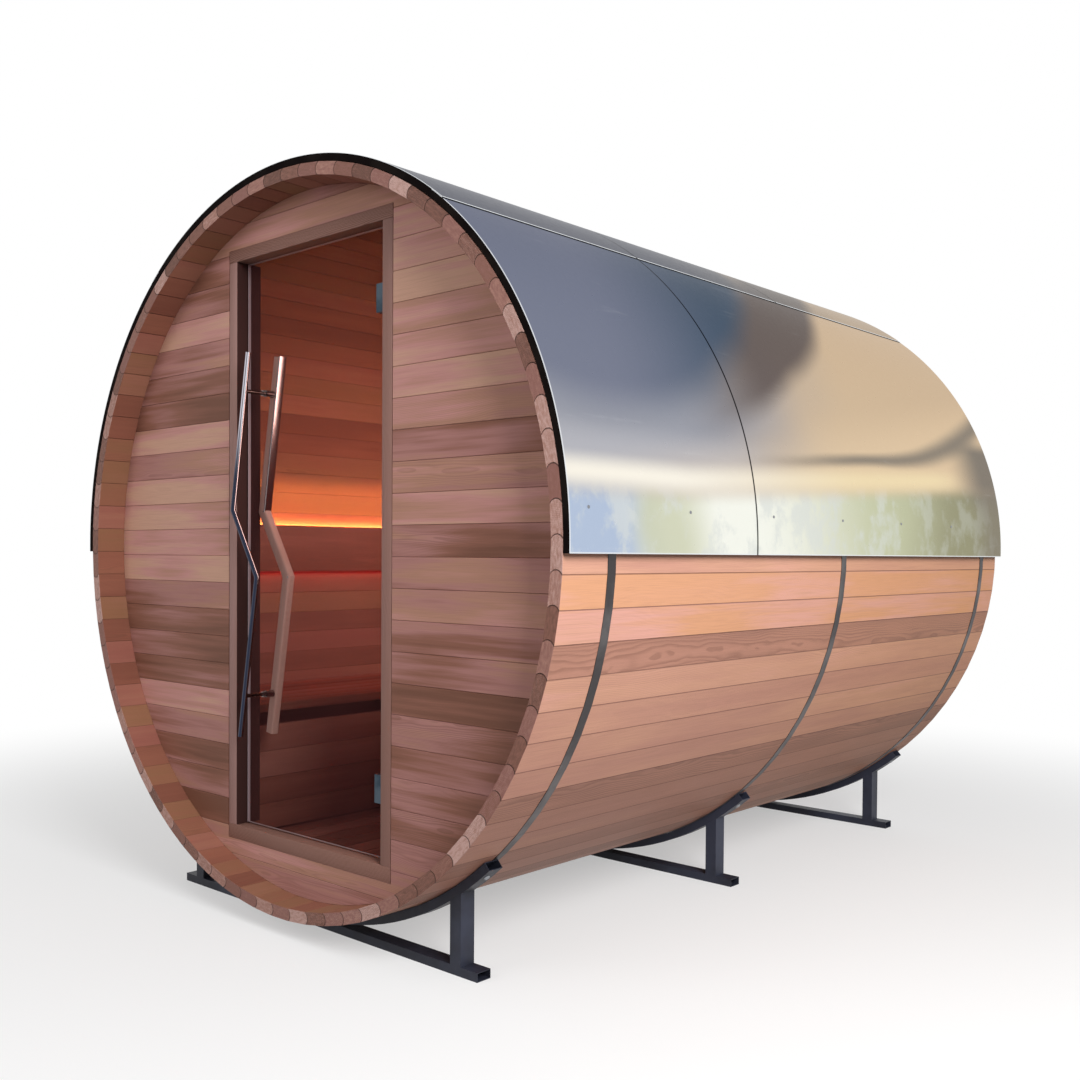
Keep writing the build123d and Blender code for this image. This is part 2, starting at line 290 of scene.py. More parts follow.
def nodeGroup(name, inputs):
    tree = bpy.data.node_groups.new(name, "GeometryNodeTree")
    tree.interface.new_socket("Geometry", in_out="INPUT", socket_type="NodeSocketGeometry")
    tree.interface.new_socket("Geometry", in_out="OUTPUT", socket_type="NodeSocketGeometry")
    for label, kind, value in inputs:
        socket = tree.interface.new_socket(label, in_out="INPUT", socket_type=kind)
        if value is not None:
            socket.default_value = value
    start = tree.nodes.new("NodeGroupInput")
    return tree, {socket.name: Field(tree, socket) for socket in start.outputs if socket.name}


def geometryNode(tree, kind, inputs, output=0, **settings):
    node = addNode(tree, kind, **settings)
    for name, value in inputs.items():
        feed(node.inputs[name], value)
    return Field(tree, node.outputs[output])


# every copy gets a number of its own for the grain
def seedInstances(tree, instances, seed):
    drawn = geometryNode(tree, "FunctionNodeRandomValue", {"Seed": seed}, 1, data_type="FLOAT")
    return geometryNode(tree, "GeometryNodeStoreNamedAttribute",
                        {"Geometry": instances, "Name": "boardSeed", "Value": drawn},
                        data_type="FLOAT", domain="INSTANCE")


def finishTree(tree, instances, material):
    realized = geometryNode(tree, "GeometryNodeRealizeInstances", {"Geometry": instances})
    painted = geometryNode(tree, "GeometryNodeSetMaterial", {"Geometry": realized, "Material": material})
    feed(tree.nodes.new("NodeGroupOutput").inputs[0], painted)
    return tree


# copies of one stave set side by side round the barrel's axis
def ringTree():
    tree, given = nodeGroup("staveRing", [
        ("Count", "NodeSocketInt", 8), ("First joint", "NodeSocketFloat", 0.0),
        ("Axis height", "NodeSocketFloat", 1.0), ("Seed", "NodeSocketInt", 0),
        ("Material", "NodeSocketMaterial", None)])
    points = geometryNode(tree, "GeometryNodePoints", {
        "Count": given["Count"], "Position": joinVector(tree, 0.0, 0.0, given["Axis height"])})
    index = geometryNode(tree, "GeometryNodeInputIndex", {})
    step = calc(tree, "DIVIDE", math.tau, given["Count"])
    turn = given["First joint"] + (index + 0.5) * step
    rotation = geometryNode(tree, "FunctionNodeEulerToRotation", {"Euler": joinVector(tree, 0.0, turn, 0.0)})
    copies = geometryNode(tree, "GeometryNodeInstanceOnPoints", {
        "Points": points, "Instance": given["Geometry"], "Rotation": rotation})
    return finishTree(tree, seedInstances(tree, copies, given["Seed"]), given["Material"])


# copies of one board at even steps
def rowTree():
    tree, given = nodeGroup("boardRow", [
        ("Count", "NodeSocketInt", 4), ("Step", "NodeSocketVector", (0.0, 0.0, 0.0)),
        ("Seed", "NodeSocketInt", 0), ("Material", "NodeSocketMaterial", None)])
    index = geometryNode(tree, "GeometryNodeInputIndex", {})
    scaled = geometryNode(tree, "ShaderNodeVectorMath", {0: given["Step"], "Scale": index}, operation="SCALE")
    points = geometryNode(tree, "GeometryNodePoints", {"Count": given["Count"], "Position": scaled})
    copies = geometryNode(tree, "GeometryNodeInstanceOnPoints", {
        "Points": points, "Instance": given["Geometry"]})
    return finishTree(tree, seedInstances(tree, copies, given["Seed"]), given["Material"])


# a fixing on each point of a mesh, turned to the point's own direction
def fixingTree():
    tree, given = nodeGroup("fixingsOnPoints", [
        ("Fixing", "NodeSocketObject", None), ("Material", "NodeSocketMaterial", None)])
    source = geometryNode(tree, "GeometryNodeObjectInfo", {"Object": given["Fixing"]}, "Geometry")
    direction = geometryNode(tree, "GeometryNodeInputNamedAttribute", {"Name": "direction"}, "Attribute",
                             data_type="FLOAT_VECTOR")
    turned = geometryNode(tree, "FunctionNodeAlignRotationToVector", {"Vector": direction}, axis="Z")
    copies = geometryNode(tree, "GeometryNodeInstanceOnPoints", {
        "Points": given["Geometry"], "Instance": source, "Rotation": turned})
    return finishTree(tree, copies, given["Material"])


staveRing, boardRow, fixingsOnPoints = ringTree(), rowTree(), fixingTree()


def setInputs(piece, tree, values):
    modifier = piece.modifiers.new("nodes", "NODES")
    modifier.node_group = tree
    names = {item.name: item.identifier for item in tree.interface.items_tree if item.in_out == "INPUT"}
    for label, value in values.items():
        modifier[names[label]] = value


# turns a piece's modifiers into a plain mesh
def applied(piece):
    bpy.context.view_layer.update()
    result = piece.evaluated_get(bpy.context.evaluated_depsgraph_get())
    mesh = bpy.data.meshes.new_from_object(result)
    piece.modifiers.clear()
    piece.data = mesh
    return piece


# spots are (place, direction)
def fixings(name, fixing, spots, material):
    piece = makeObject(name, [spot[0] for spot in spots], [])
    setAttribute(piece.data, "direction", "FLOAT_VECTOR", [spot[1] for spot in spots])
    setInputs(piece, fixingsOnPoints, {"Fixing": fixing, "Material": material})
    smoothByAngle(applied(piece), 40)
    bpy.data.objects.remove(fixing)
    return piece


# cedar: every board has a tone of its own that drifts along it, soft streaks and some figure

cedar = {
    "roughness": 0.55,
    "shine": 0.28,
    "drift": 1.0,            # how far the tone wanders across a board
    "longDrift": 0.8,        # and along it, as a share of the above
    "streaks": 0.60,         # narrower streaks of the neighbouring tones
    "ringsPerMetre": 330.0,
    "ringDepth": 0.42,
    "ringWaves": 0.012,
    "pithSpread": 0.16,      # how far to the side the rings may have their centre
    "pithDepth": 0.020,      # least depth of that centre behind the board
    "pithDepthSpread": 0.05,
    "fibreDepth": 0.12,
    "jointLine": 0.0011,     # width of the dark line along a board's edge
    "jointDark": 0.60,
    "lateWood": (0.16, 0.070, 0.045),
    "jointColor": (0.075, 0.030, 0.020),
    "gapColor": (0.030, 0.014, 0.010),
}


# the dark late wood of rings about a centre that wanders beside the board
def growthRings(tree, shifted, across, depth, sideDraw, depthDraw):
    wander = noise(shifted, (2.5, 2.5, 1.1))
    waves = noise(shifted, (14.0, 14.0, 5.0))
    pith = (sideDraw - 0.5) * cedar["pithSpread"] + (wander - 0.5) * cedar["pithSpread"]
    sideways = across - pith
    inwards = depth + (depthDraw * cedar["pithDepthSpread"] + cedar["pithDepth"] + waves * cedar["ringWaves"])
    radius = calc(tree, "SQRT", sideways * sideways + inwards * inwards)
    ring = calc(tree, "FRACT", radius * cedar["ringsPerMetre"])
    return ring.remap(0.30, 0.85) * ring.remap(0.90, 1.0, 1.0, 0.0), wander


# where a spot of a board stands on its list of tones
def tonePlace(tree, shifted, tone, drift):
    wide = noise(shifted, (14.0, 14.0, 1.3)) - 0.5
    long = noise(shifted, (3.0, 3.0, 1.9), 1.0) - 0.5
    streak = noise(shifted, (52.0, 52.0, 2.0), 3.0, 0.6) - 0.5
    wandering = wide * (cedar["drift"] * drift) + long * (cedar["longDrift"] * cedar["drift"] * drift)
    return calc(tree, "ADD", tone, wandering + streak * (cedar["streaks"] * drift), clamp=True)


# the stave extras take (tree, colour, fields by name) and return the colour
def cedarMaterial(name, tones, halfWidth=0.0, figure=1.0, drift=1.0, joint=1.0, sides=None, ends=None):
    material, tree, shader = newMaterial(name, **{"Roughness": cedar["roughness"],
                                                  "Specular IOR Level": cedar["shine"]})
    grain = attribute(tree, "grain", "Vector")
    tone = attribute(tree, "boardTone", "Fac")
    drawn = addNode(tree, "ShaderNodeTexWhiteNoise", noise_dimensions="1D")
    feed(drawn.inputs["W"], attribute(tree, "boardSeed", "Fac"))
    drawn = Field(tree, drawn.outputs["Color"])
    first, second, third = splitVector(drawn)
    shifted = vectorCalc(tree, "ADD", grain, vectorCalc(tree, "MULTIPLY", drawn, (3.1, 2.3, 9.7)))
    across, depth, along = splitVector(grain)

    lateWood, wander = growthRings(tree, shifted, across, depth, first, second)
    plainness = tone * 0.8 + third * 0.5    # pale boards show less figure
    figured = (plainness - wander * 0.3).remap(0.15, 0.60, figure, 0.10 * figure)
    place = tonePlace(tree, shifted, tone, drift)
    fields = {"across": across, "depth": depth, "along": along, "place": place, "draw": first,
              "shifted": shifted, "lateWood": lateWood}

    color = colorRamp(place, tones)
    if sides:
        color = sides(tree, color, fields)
    fibre = noise(shifted, (520.0, 520.0, 9.0))
    dark = calc(tree, "ADD", lateWood * figured * cedar["ringDepth"],
                fibre.remap(0.40, 0.72) * cedar["fibreDepth"], clamp=True)
    color = mixColors(tree, dark, color, cedar["lateWood"])
    if halfWidth:
        edge = abs(across).remap(halfWidth - cedar["jointLine"], halfWidth, 0.0, cedar["jointDark"] * joint)
        color = mixColors(tree, edge, color, cedar["jointColor"])
    if ends:
        color = ends(tree, color, fields)
    feed(shader.inputs["Base Color"], color)
    bump(shader, lateWood * 0.4 + fibre, 0.20, 0.0005)
    return material


# staves: each has a rounded bead on its left edge and a hollow cove on its right one

staves = {
    "count": 82,
    "radius": 1.067,
    "thickness": 0.035,
    "bead": 0.010,           # how far the bead stands out
    "jointGap": 0.0014,
    "firstJoint": 1.3,
    "cornerEase": 0.0013,
    "arcSteps": 12,
    "seed": 5,
    "lineEnd": 0.0398,       # half width at which the dark line of a joint is full
    "outsideTones": [(0.00, (0.32, 0.160, 0.120)), (0.25, (0.47, 0.235, 0.170)),
                     (0.50, (0.56, 0.285, 0.215)), (0.72, (0.66, 0.355, 0.245)),
                     (0.88, (0.72, 0.375, 0.305)), (1.00, (0.69, 0.350, 0.200))],
    "insideTones": [(0.00, (0.21, 0.075, 0.050)), (0.30, (0.30, 0.115, 0.075)), (0.55, (0.27, 0.130, 0.070)),
                    (0.80, (0.34, 0.145, 0.100)), (1.00, (0.29, 0.105, 0.080))],
    "endTones": [(0.00, (0.14, 0.065, 0.048)), (0.25, (0.25, 0.115, 0.085)), (0.50, (0.29, 0.135, 0.115)),
                 (0.75, (0.42, 0.220, 0.175)), (1.00, (0.62, 0.400, 0.355))],
    "rearTint": (1.0, 0.95, 0.80),
    "eaveStave": 20,         # counted clockwise from the top
    "tonesFromEave": (0.72, 1.00, 0.90, 0.22, 0.70, 0.52, 0.62, 0.58, 0.15, 0.36, 0.45, 0.25, 0.50, 0.30,
                      0.60, 0.20, 0.45, 0.35),
}
halfPitch = math.pi / staves["count"]
staveOuter = staves["radius"] * math.cos(halfPitch)
staveInner = staveOuter - staves["thickness"]
staveMiddle = (staveOuter + staveInner) / 2
edgeHalf = staves["thickness"] / 2 / math.cos(halfPitch)
beadRadius = (edgeHalf ** 2 + staves["bead"] ** 2) / (2 * staves["bead"])


# the rear of the staves is a little yellower, and their inner faces are darker
def staveSides(tree, color, fields):
    color = mixColors(tree, fields["along"].remap(-0.9, 1.2, 0.0, 0.9), color, staves["rearTint"], "MULTIPLY")
    innerFace = staves["thickness"] / 2
    inside = fields["depth"].remap(0.0001 - innerFace, 0.0025 - innerFace, 1.0, 0.0)
    return mixColors(tree, inside, color, colorRamp(fields["place"], staves["insideTones"]))


# sawn end grain, with the curved gaps that the beads leave against the coves
def staveEnds(tree, color, fields):
    sawn = noise(fields["shifted"], (60.0, 160.0, 0.0))
    endPlace = calc(tree, "ADD", fields["draw"], (sawn - 0.5) * 0.7, clamp=True)
    endColor = mixColors(tree, fields["lateWood"] * 0.22, colorRamp(endPlace, staves["endTones"]),
                         cedar["lateWood"])
    width = 2 * halfPitch * staveMiddle
    chordOffset = beadRadius - staves["bead"]
    for shift in (0.0, width):
        sideways = fields["across"] + (width / 2 - chordOffset - shift)
        reach = calc(tree, "SQRT", sideways * sideways + fields["depth"] * fields["depth"])
        line = abs(reach - beadRadius).remap(0.0004, 0.0022, 0.8, 0.0)
        onBead = calc(tree, "LESS_THAN", sideways, 0.0008 - chordOffset)
        endColor = mixColors(tree, line * onBead, endColor, cedar["gapColor"])
    atEnd = abs(fields["along"]).remap(rearEnd - 0.0016, rearEnd - 0.0008)
    return mixColors(tree, atEnd, color, endColor)


staveCedar = cedarMaterial("staveCedar", staves["outsideTones"], staves["lineEnd"], drift=0.5,
                           sides=staveSides, ends=staveEnds)


def edgeCurve(outer, inner, bulge):
    along = (inner - outer).normalized()
    reach = math.asin(edgeHalf / beadRadius)
    points = []
    for step in range(1, staves["arcSteps"]):
        turn = reach * (2 * step / staves["arcSteps"] - 1)
        rise = beadRadius * math.cos(turn) - beadRadius + staves["bead"]
        points.append((outer + inner) / 2 + along * beadRadius * math.sin(turn) + bulge * rise)
    return points


def staveProfile():
    gap = Vector((-staves["jointGap"], 0))
    outX, inX = staves["radius"] * math.sin(halfPitch), staveInner * math.tan(halfPitch)
    leftOut, leftIn = Vector((-outX, staveOuter)), Vector((-inX, staveInner))
    rightOut, rightIn = Vector((outX, staveOuter)), Vector((inX, staveInner))
    bead = edgeCurve(leftOut, leftIn, Vector((-math.cos(halfPitch), -math.sin(halfPitch))))
    cove = edgeCurve(rightOut + gap, rightIn + gap, Vector((-math.cos(halfPitch), math.sin(halfPitch))))
    ease = Vector((staves["cornerEase"], 0))
    return [leftOut + ease, *bead, leftIn + ease, rightIn - ease, *cove[::-1], rightOut - ease]


def makeStaves():
    outline = staveProfile()
    count = len(outline)
    verts = [(p.x, y, p.y) for y in (frontEnd, rearEnd) for p in outline]
    faces = [(i, (i + 1) % count, count + (i + 1) % count, count + i) for i in range(count)]
    faces += [tuple(range(count))[::-1], tuple(range(count, 2 * count))]
    piece = makeObject("staves", verts, faces)
    setAttribute(piece.data, "grain", "FLOAT_VECTOR", [(x, z - staveMiddle, y) for x, y, z in verts])
    setInputs(piece, staveRing, {
        "Count": staves["count"], "First joint": math.radians(staves["firstJoint"]),
        "Axis height": axisHeight, "Seed": staves["seed"], "Material": staveCedar})
    applied(piece)
    bm = bmesh.new()
    bm.from_mesh(piece.data)
    bmesh.ops.recalc_face_normals(bm, faces=bm.faces)
    bm.to_mesh(piece.data)
    bm.free()
    perStave = len(piece.data.vertices) // staves["count"]
    tones = [random.Random(index).random() for index in range(staves["count"])]
    for step, tone in enumerate(staves["tonesFromEave"]):
        tones[staves["eaveStave"] + step] = tone
    setAttribute(piece.data, "boardTone", "FLOAT", [tone for tone in tones for _ in range(perStave)])
    return smoothByAngle(piece, 20)


staveNodes = [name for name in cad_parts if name.startswith("staves_")]
place(makeStaves(), "barrel", "stave_cedar", *staveNodes)
print("staves made")


# boarded end walls

endWalls = {
    "boardWidth": 0.085,
    "boardGap": 0.0003,
    "halfThickness": 0.020,
    "overlap": 1.02,         # boards are first made this much longer than the disc that trims them
    "jointHeight": 0.057,    # height of one joint above the barrel's axis
    "groove": 0.0014,
    "ringSteps": 240,
    "doorGap": 0.003,        # between the boards and the sides of the door frame
    # darker than the staves' tones, in part as painted shade of the end walls
    "woodTones": [(0.00, (0.17, 0.070, 0.044)), (0.22, (0.27, 0.115, 0.080)), (0.42, (0.43, 0.205, 0.185)),
                  (0.62, (0.45, 0.235, 0.165)), (0.82, (0.57, 0.280, 0.255)), (1.00, (0.60, 0.350, 0.255))],
    # places on that list from the top board downwards, left and right of the door
    "topRow": 10,
    "leftTones": (0.30, 0.38, 0.86, 0.48, 0.30, 0.14, 0.76, 0.62, 0.98, 0.86, 0.86, 0.90, 0.34, 0.24, 0.34,
                  0.20, 0.66, 0.46, 0.16, 0.40, 0.10),
    "rightTones": (0.84, 0.80, 1.00, 0.84, 0.96, 0.90, 0.50, 0.42, 0.58, 0.64, 0.40, 0.48, 0.58, 0.40, 0.42,
                   0.26, 0.32, 0.20, 0.18, 0.24, 0.36),
    "otherTones": (0.35, 0.85),
}
wallJoint = axisHeight + endWalls["jointHeight"]
wallCedar = cedarMaterial("wallCedar", endWalls["woodTones"],
                          endWalls["boardWidth"] / 2 - endWalls["boardGap"], joint=0.6)


def wallBoards(name, low, high, radius):
    pitch, reach = endWalls["boardWidth"], radius * endWalls["overlap"]
    bm = bmesh.new()
    for row in range(math.floor((low.z - wallJoint) / pitch), math.ceil((high.z - wallJoint) / pitch)):
        bottom = wallJoint + row * pitch
        made = plainBox(bm, (-reach, low.y, bottom), (reach, high.y, bottom + pitch - endWalls["boardGap"]))
        edges = {e for v in made for e in v.link_edges if abs(e.verts[0].co.x - e.verts[1].co.x) > radius}
        bmesh.ops.bevel(bm, geom=list(edges), offset=endWalls["groove"], segments=1, affect="EDGES")
    return fromBmesh(bm, name, wallCedar)


# one number for each board, so that each has its own tone and grain
def toneBoards(mesh, opening, seed, frontFace):
    pitch = endWalls["boardWidth"]
    listed = {1: endWalls["rightTones"], 2: endWalls["leftTones"], 0: ()}
    paler, palest = endWalls["otherTones"]
    seeds, tones, grain = [], [], []
    for polygon in mesh.polygons:
        row = math.floor((polygon.center.z - wallJoint) / pitch)
        bottom = wallJoint + row * pitch
        beside = opening and bottom + pitch <= opening[1].z and bottom >= opening[0].z
        side = 0 if not beside else (1 if polygon.center.x > 0 else 2)
        draw = random.Random(f"{seed} {row} {side}")
        seeds.append(draw.random())
        step = endWalls["topRow"] - 1 - row
        inList = 0 <= step < len(listed[side])
        tones.append(listed[side][step] if inList else paler + (palest - paler) * draw.random())
        for corner in polygon.vertices:
            x, y, z = mesh.vertices[corner].co
            grain.append((z - bottom - pitch / 2, y - frontFace - endWalls["halfThickness"], x))
    setAttribute(mesh, "boardSeed", "FLOAT", seeds, "FACE")
    setAttribute(mesh, "boardTone", "FLOAT", tones, "FACE")
    setAttribute(mesh, "grain", "FLOAT_VECTOR", grain, "CORNER")


def endWall(name, nodes, opening, seed):
    corners = [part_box(node) for node in nodes]
    low = Vector([min(box[0][axis] for box in corners) for axis in range(3)])
    high = Vector([max(box[1][axis] for box in corners) for axis in range(3)])
    radius = (high.x - low.x) / 2
    wall = wallBoards(name, low, high, radius)
    cutters = []

    def cutBy(cutter, operation):
        modifier = wall.modifiers.new("cut", "BOOLEAN")
        modifier.operation = operation
        modifier.solver = "EXACT"
        modifier.object = cutter
        cutters.append(cutter)

    disc = bmesh.new()
    upright = Matrix.Translation((0, low.y, axisHeight)) @ Matrix.Rotation(math.pi / 2, 4, "X")
    bmesh.ops.create_cone(disc, cap_ends=True, segments=endWalls["ringSteps"], radius1=radius, radius2=radius,
                          depth=1.0, matrix=upright)
    cutBy(fromBmesh(disc, "disc"), "INTERSECT")
    if opening:
        hole = bmesh.new()
        plainBox(hole, *opening)
        cutBy(fromBmesh(hole, "hole"), "DIFFERENCE")
    applied(wall)
    for cutter in cutters:
        bpy.data.objects.remove(cutter)
    toneBoards(wall.data, opening, seed, low.y)
    return wall


frontNodes = ["front_wall_left", "front_wall_right", "front_wall_over_door", "front_wall_under_door"]
headLow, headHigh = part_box("door_head")
openingLow = Vector((headLow.x - endWalls["doorGap"], headLow.y - 0.1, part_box("door_sill")[0].z))
openingHigh = Vector((headHigh.x + endWalls["doorGap"], headHigh.y + 0.1, headHigh.z))
frontBoards = endWall("frontBoards", frontNodes, (openingLow, openingHigh), "front")
place(frontBoards, "barrel", "wall_cedar", *frontNodes)
place(endWall("rearBoards", ["back_wall"], None, "rear"), "barrel", "wall_cedar", "back_wall")
print("end walls made")


def plainFinish(name, color, roughness, metallic=0.0, **more):
    values = {"Base Color": (*color, 1), "Roughness": roughness, "Metallic": metallic, **more}
    return newMaterial(name, **values)[0]


# door frame; a near-black lining behind the glass, flush with the jambs, stands in for shade, and the jambs'
# faces into the doorway get painted shade

doorFrame = {
    "tones": [(0.00, (0.30, 0.160, 0.130)), (0.50, (0.32, 0.178, 0.152)), (1.00, (0.37, 0.215, 0.195))],
    "headSeed": 0.21,
    "jambSeed": 0.63,
    "shadeLiningDepth": 0.036,
    "shadeLiningThickness": 0.018,
    "shadeLiningBevel": 0.001,
}
frameCedar = cedarMaterial("frameCedar", doorFrame["tones"], figure=2.4)
revealShade = plainFinish("revealShade", (0.045, 0.020, 0.018), 0.60, 0.0, **{"Specular IOR Level": 0.05})


def boardsFromNodes(name, nodes, axis, material, slotName, seed, bevel=0.0015, palest=1.0):
    boards = [(*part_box(node), axis, seed + index * 0.37) for index, node in enumerate(nodes)]
    return place(boardPiece(name, boards, material, bevel, palest), "barrel", slotName, *nodes)


def makeShadeLining():
    bm = bmesh.new()
    for node, side in (("door_jamb_left", 1), ("door_jamb_right", -1)):
        low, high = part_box(node)
        edge = high.x if side > 0 else low.x
        sides = sorted((edge, edge - side * doorFrame["shadeLiningThickness"]))
        bevelledBox(bm, (sides[0], high.y, low.z), (sides[1], high.y + doorFrame["shadeLiningDepth"], high.z),
                    doorFrame["shadeLiningBevel"], 1)
    return fromBmesh(bm, "jambLining", revealShade)


boardsFromNodes("frameHeadAndSill", ["door_head", "door_sill"], 0, frameCedar, "frame_cedar",
                doorFrame["headSeed"], palest=0.1)
frameJambs = boardsFromNodes("frameJambs", ["door_jamb_left", "door_jamb_right"], 2, frameCedar,
                             "frame_cedar", doorFrame["jambSeed"])
frameJambs.data.materials.append(revealShade)
for polygon in frameJambs.data.polygons:
    if polygon.normal.x * polygon.center.x < -0.2:    # faces that look into the doorway get painted shade
        polygon.material_index = 1
place(makeShadeLining(), "barrel", "frame_cedar")


# bench, backrest and floor

benchTones = [(0.00, (0.24, 0.080, 0.052)), (0.50, (0.38, 0.130, 0.090)), (1.00, (0.50, 0.200, 0.150))]
benchCedar = cedarMaterial("benchCedar", benchTones, figure=0.7)

# rows of boards: node, axis they are laid along, width, gap, seed, bevel
insideRows = {
    "benchSlats": ("bench_seat", 0, 0.080, 0.0028, 3, 0.004),
    "benchSkirt": ("bench_skirt", 2, 0.084, 0.001, 9, 0.002),
    "floorSlats": ("floor_slats", 0, 0.080, 0.0044, 12, 0.004),
}


# fills a node's box with boards of one width along the barrel, laid from its low side
def rowFromNode(name, node, layAxis, width, gap, seed, bevel):
    low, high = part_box(node)
    count = round((high[layAxis] - low[layAxis] + gap) / (width + gap))
    firstHigh = high.copy()
    firstHigh[layAxis] = low[layAxis] + width
    step = [0.0, 0.0, 0.0]
    step[layAxis] = width + gap
    piece = boardPiece(name, [(low, firstHigh, 1, 0.0)], benchCedar, bevel)
    for spare in ("boardSeed", "boardTone"):
        piece.data.attributes.remove(piece.data.attributes[spare])
    setInputs(piece, boardRow, {"Count": count, "Step": step, "Seed": seed, "Material": benchCedar})
    place(smoothByAngle(spreadTones(applied(piece)), 40), "barrel", "bench_cedar", node)


boardsFromNodes("backrestBoard", ["backrest_board"], 1, benchCedar, "bench_cedar", 0.29, 0.004)
for rowName, rowValues in insideRows.items():
    rowFromNode(rowName, *rowValues)
print("inside made")


# glass, with a slim pale strip on its free edge and along its top as a painted highlight of the glass edge

pane = {
    "tint": (0.082, 0.027, 0.027),
    "density": 0.26,
    "edgeHighlightColor": (0.42, 0.30, 0.30),
    "bevel": 0.0012,
    "stripHighlightColor": (0.36, 0.27, 0.29),
    "stripLip": 0.0008,       # how far the strip stands proud of the glass
    "stripCover": 0.0012,     # and how far it reaches over it
    "stripBevel": 0.0006,
}
tintedGlass = plainFinish("tintedGlass", pane["tint"], 0.02, 0.0,
                          **{"Alpha": pane["density"], "Specular IOR Level": 0.0})
# the pane's edge faces get a pale painted highlight
glassEdgeHighlight = plainFinish("glassEdgeHighlight", pane["edgeHighlightColor"], 0.25, 0.0, Alpha=0.9)
highlightStrip = plainFinish("highlightStrip", pane["stripHighlightColor"], 0.35)


def makeGlass():
    bm = bmesh.new()
    bevelledBox(bm, *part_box("door_glass"), pane["bevel"], 1)
    piece = fromBmesh(bm, "glassPane", tintedGlass)
    piece.data.materials.append(glassEdgeHighlight)
    for polygon in piece.data.polygons:
        polygon.material_index = 0 if abs(polygon.normal.y) > 0.9 else 1
    return piece


def makeHighlightStrip():
    low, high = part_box("door_glass")
    lip, cover, bevel = pane["stripLip"], pane["stripCover"], pane["stripBevel"]
    top = high.z + lip
    bm = bmesh.new()
    bevelledBox(bm, (low.x - lip, low.y - lip, low.z), (low.x + cover, high.y + lip, top), bevel, 1)
    bevelledBox(bm, (low.x + cover, low.y - lip, high.z - cover), (high.x, high.y + lip, top), bevel, 1)
    return fromBmesh(bm, "glassSeal", highlightStrip)


place(makeGlass(), "door", "tinted_glass", "door_glass")
place(makeHighlightStrip(), "door", "tinted_glass")


# handles: a round chrome bar outside, a flat wooden one with a chrome strip inside

handles = {
    "heights": (0.588, 0.111, -0.093, -0.583),    # of the bar's ends and bends, from the barrel's axis
    "offsets": (0.103, 0.024, 0.149, 0.065),      # and their distances from the left jamb
    "outerRadius": 0.008,
    "innerWidth": 0.034,
    "innerRound": 0.006,
    "woodTones": [(0.00, (0.80, 0.450, 0.360)), (1.00, (0.95, 0.600, 0.520))],
    "stripWidth": 0.007,
    "stripProud": 0.0005,
    "stripRound": 0.002,
    "bendScrew": 0.003,
    "bendScrewHeight": 0.0015,
    "bendScrewAside": 0.011,
    "roundSteps": 28,
    "studHeights": (0.473, -0.457),
    "studRadius": 0.006,
    "bossRadius": 0.009,
    "bossHeight": 0.003,
    "sunk": 0.0003,          # how deep a screw sits in the face below it
    # painted reflections on the round bar, from its back round its right, front and left sides
    "upperReflections": [(0.00, (0.10, 0.11, 0.15)), (0.34, (0.16, 0.09, 0.08)), (0.46, (0.30, 0.20, 0.20)),
                     (0.54, (0.90, 0.88, 0.92)), (0.60, (0.75, 0.74, 0.80)), (0.65, (0.10, 0.08, 0.11)),
                     (0.72, (0.62, 0.60, 0.66)), (0.84, (0.30, 0.28, 0.34)), (1.00, (0.10, 0.11, 0.15))],
    "lowerReflections": [(0.00, (0.05, 0.06, 0.11)), (0.42, (0.10, 0.07, 0.07)), (0.50, (0.80, 0.80, 0.84)),
                     (0.56, (0.05, 0.050, 0.07)), (0.66, (0.02, 0.025, 0.05)), (0.74, (0.06, 0.07, 0.10)),
                     (0.79, (0.02, 0.022, 0.04)), (0.86, (0.05, 0.05, 0.08)), (1.00, (0.05, 0.06, 0.11))],
    "reflectionsMeet": (0.20, 0.42),    # heights between which the lower painted reflections turn into the upper ones
}
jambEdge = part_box("door_jamb_left")[1].x
barPoints = [Vector((jambEdge + offset, 0, axisHeight + height))
             for offset, height in zip(handles["offsets"], handles["heights"])]


# steel with soft patches of two tones and uneven polish
def wornMetal(name, dark, light, roughness, scale, metallic=1.0, shine=0.5):
    material, tree, shader = newMaterial(name, **{"Metallic": metallic, "Specular IOR Level": shine})
    spot = objectSpot(tree)
    patches = noise(spot, (scale, scale, scale), 4.0, 0.6)
    fine = noise(spot, (scale * 18, scale * 18, scale * 18))
    feed(shader.inputs["Base Color"], mixColors(tree, patches.remap(0.38, 0.64), dark, light))
    feed(shader.inputs["Roughness"], roughness + fine * 0.15)
    bump(shader, fine, 0.12, 0.0004)
    return material


# the chrome's colour is painted reflection in bands round the bar, which change with height
def chromeMaterial():
    material, tree, shader = newMaterial("chrome", Metallic=1.0, Roughness=0.10)
    turn = attribute(tree, "barTurn", "Fac")
    height = splitVector(objectSpot(tree))[2]
    low, high = handles["reflectionsMeet"]
    color = mixColors(tree, height.remap(axisHeight + low, axisHeight + high),
                      colorRamp(turn, handles["lowerReflections"]), colorRamp(turn, handles["upperReflections"]))
    feed(shader.inputs["Base Color"], color)
    return material


chrome = chromeMaterial()
satinChrome = wornMetal("satinChrome", (0.16, 0.12, 0.115), (0.34, 0.29, 0.28), 0.18, 30.0)
stripMetal = plainFinish("stripMetal", (0.90, 0.80, 0.80), 0.16, 1.0)
handleCedar = cedarMaterial("handleCedar", handles["woodTones"], figure=0.2)


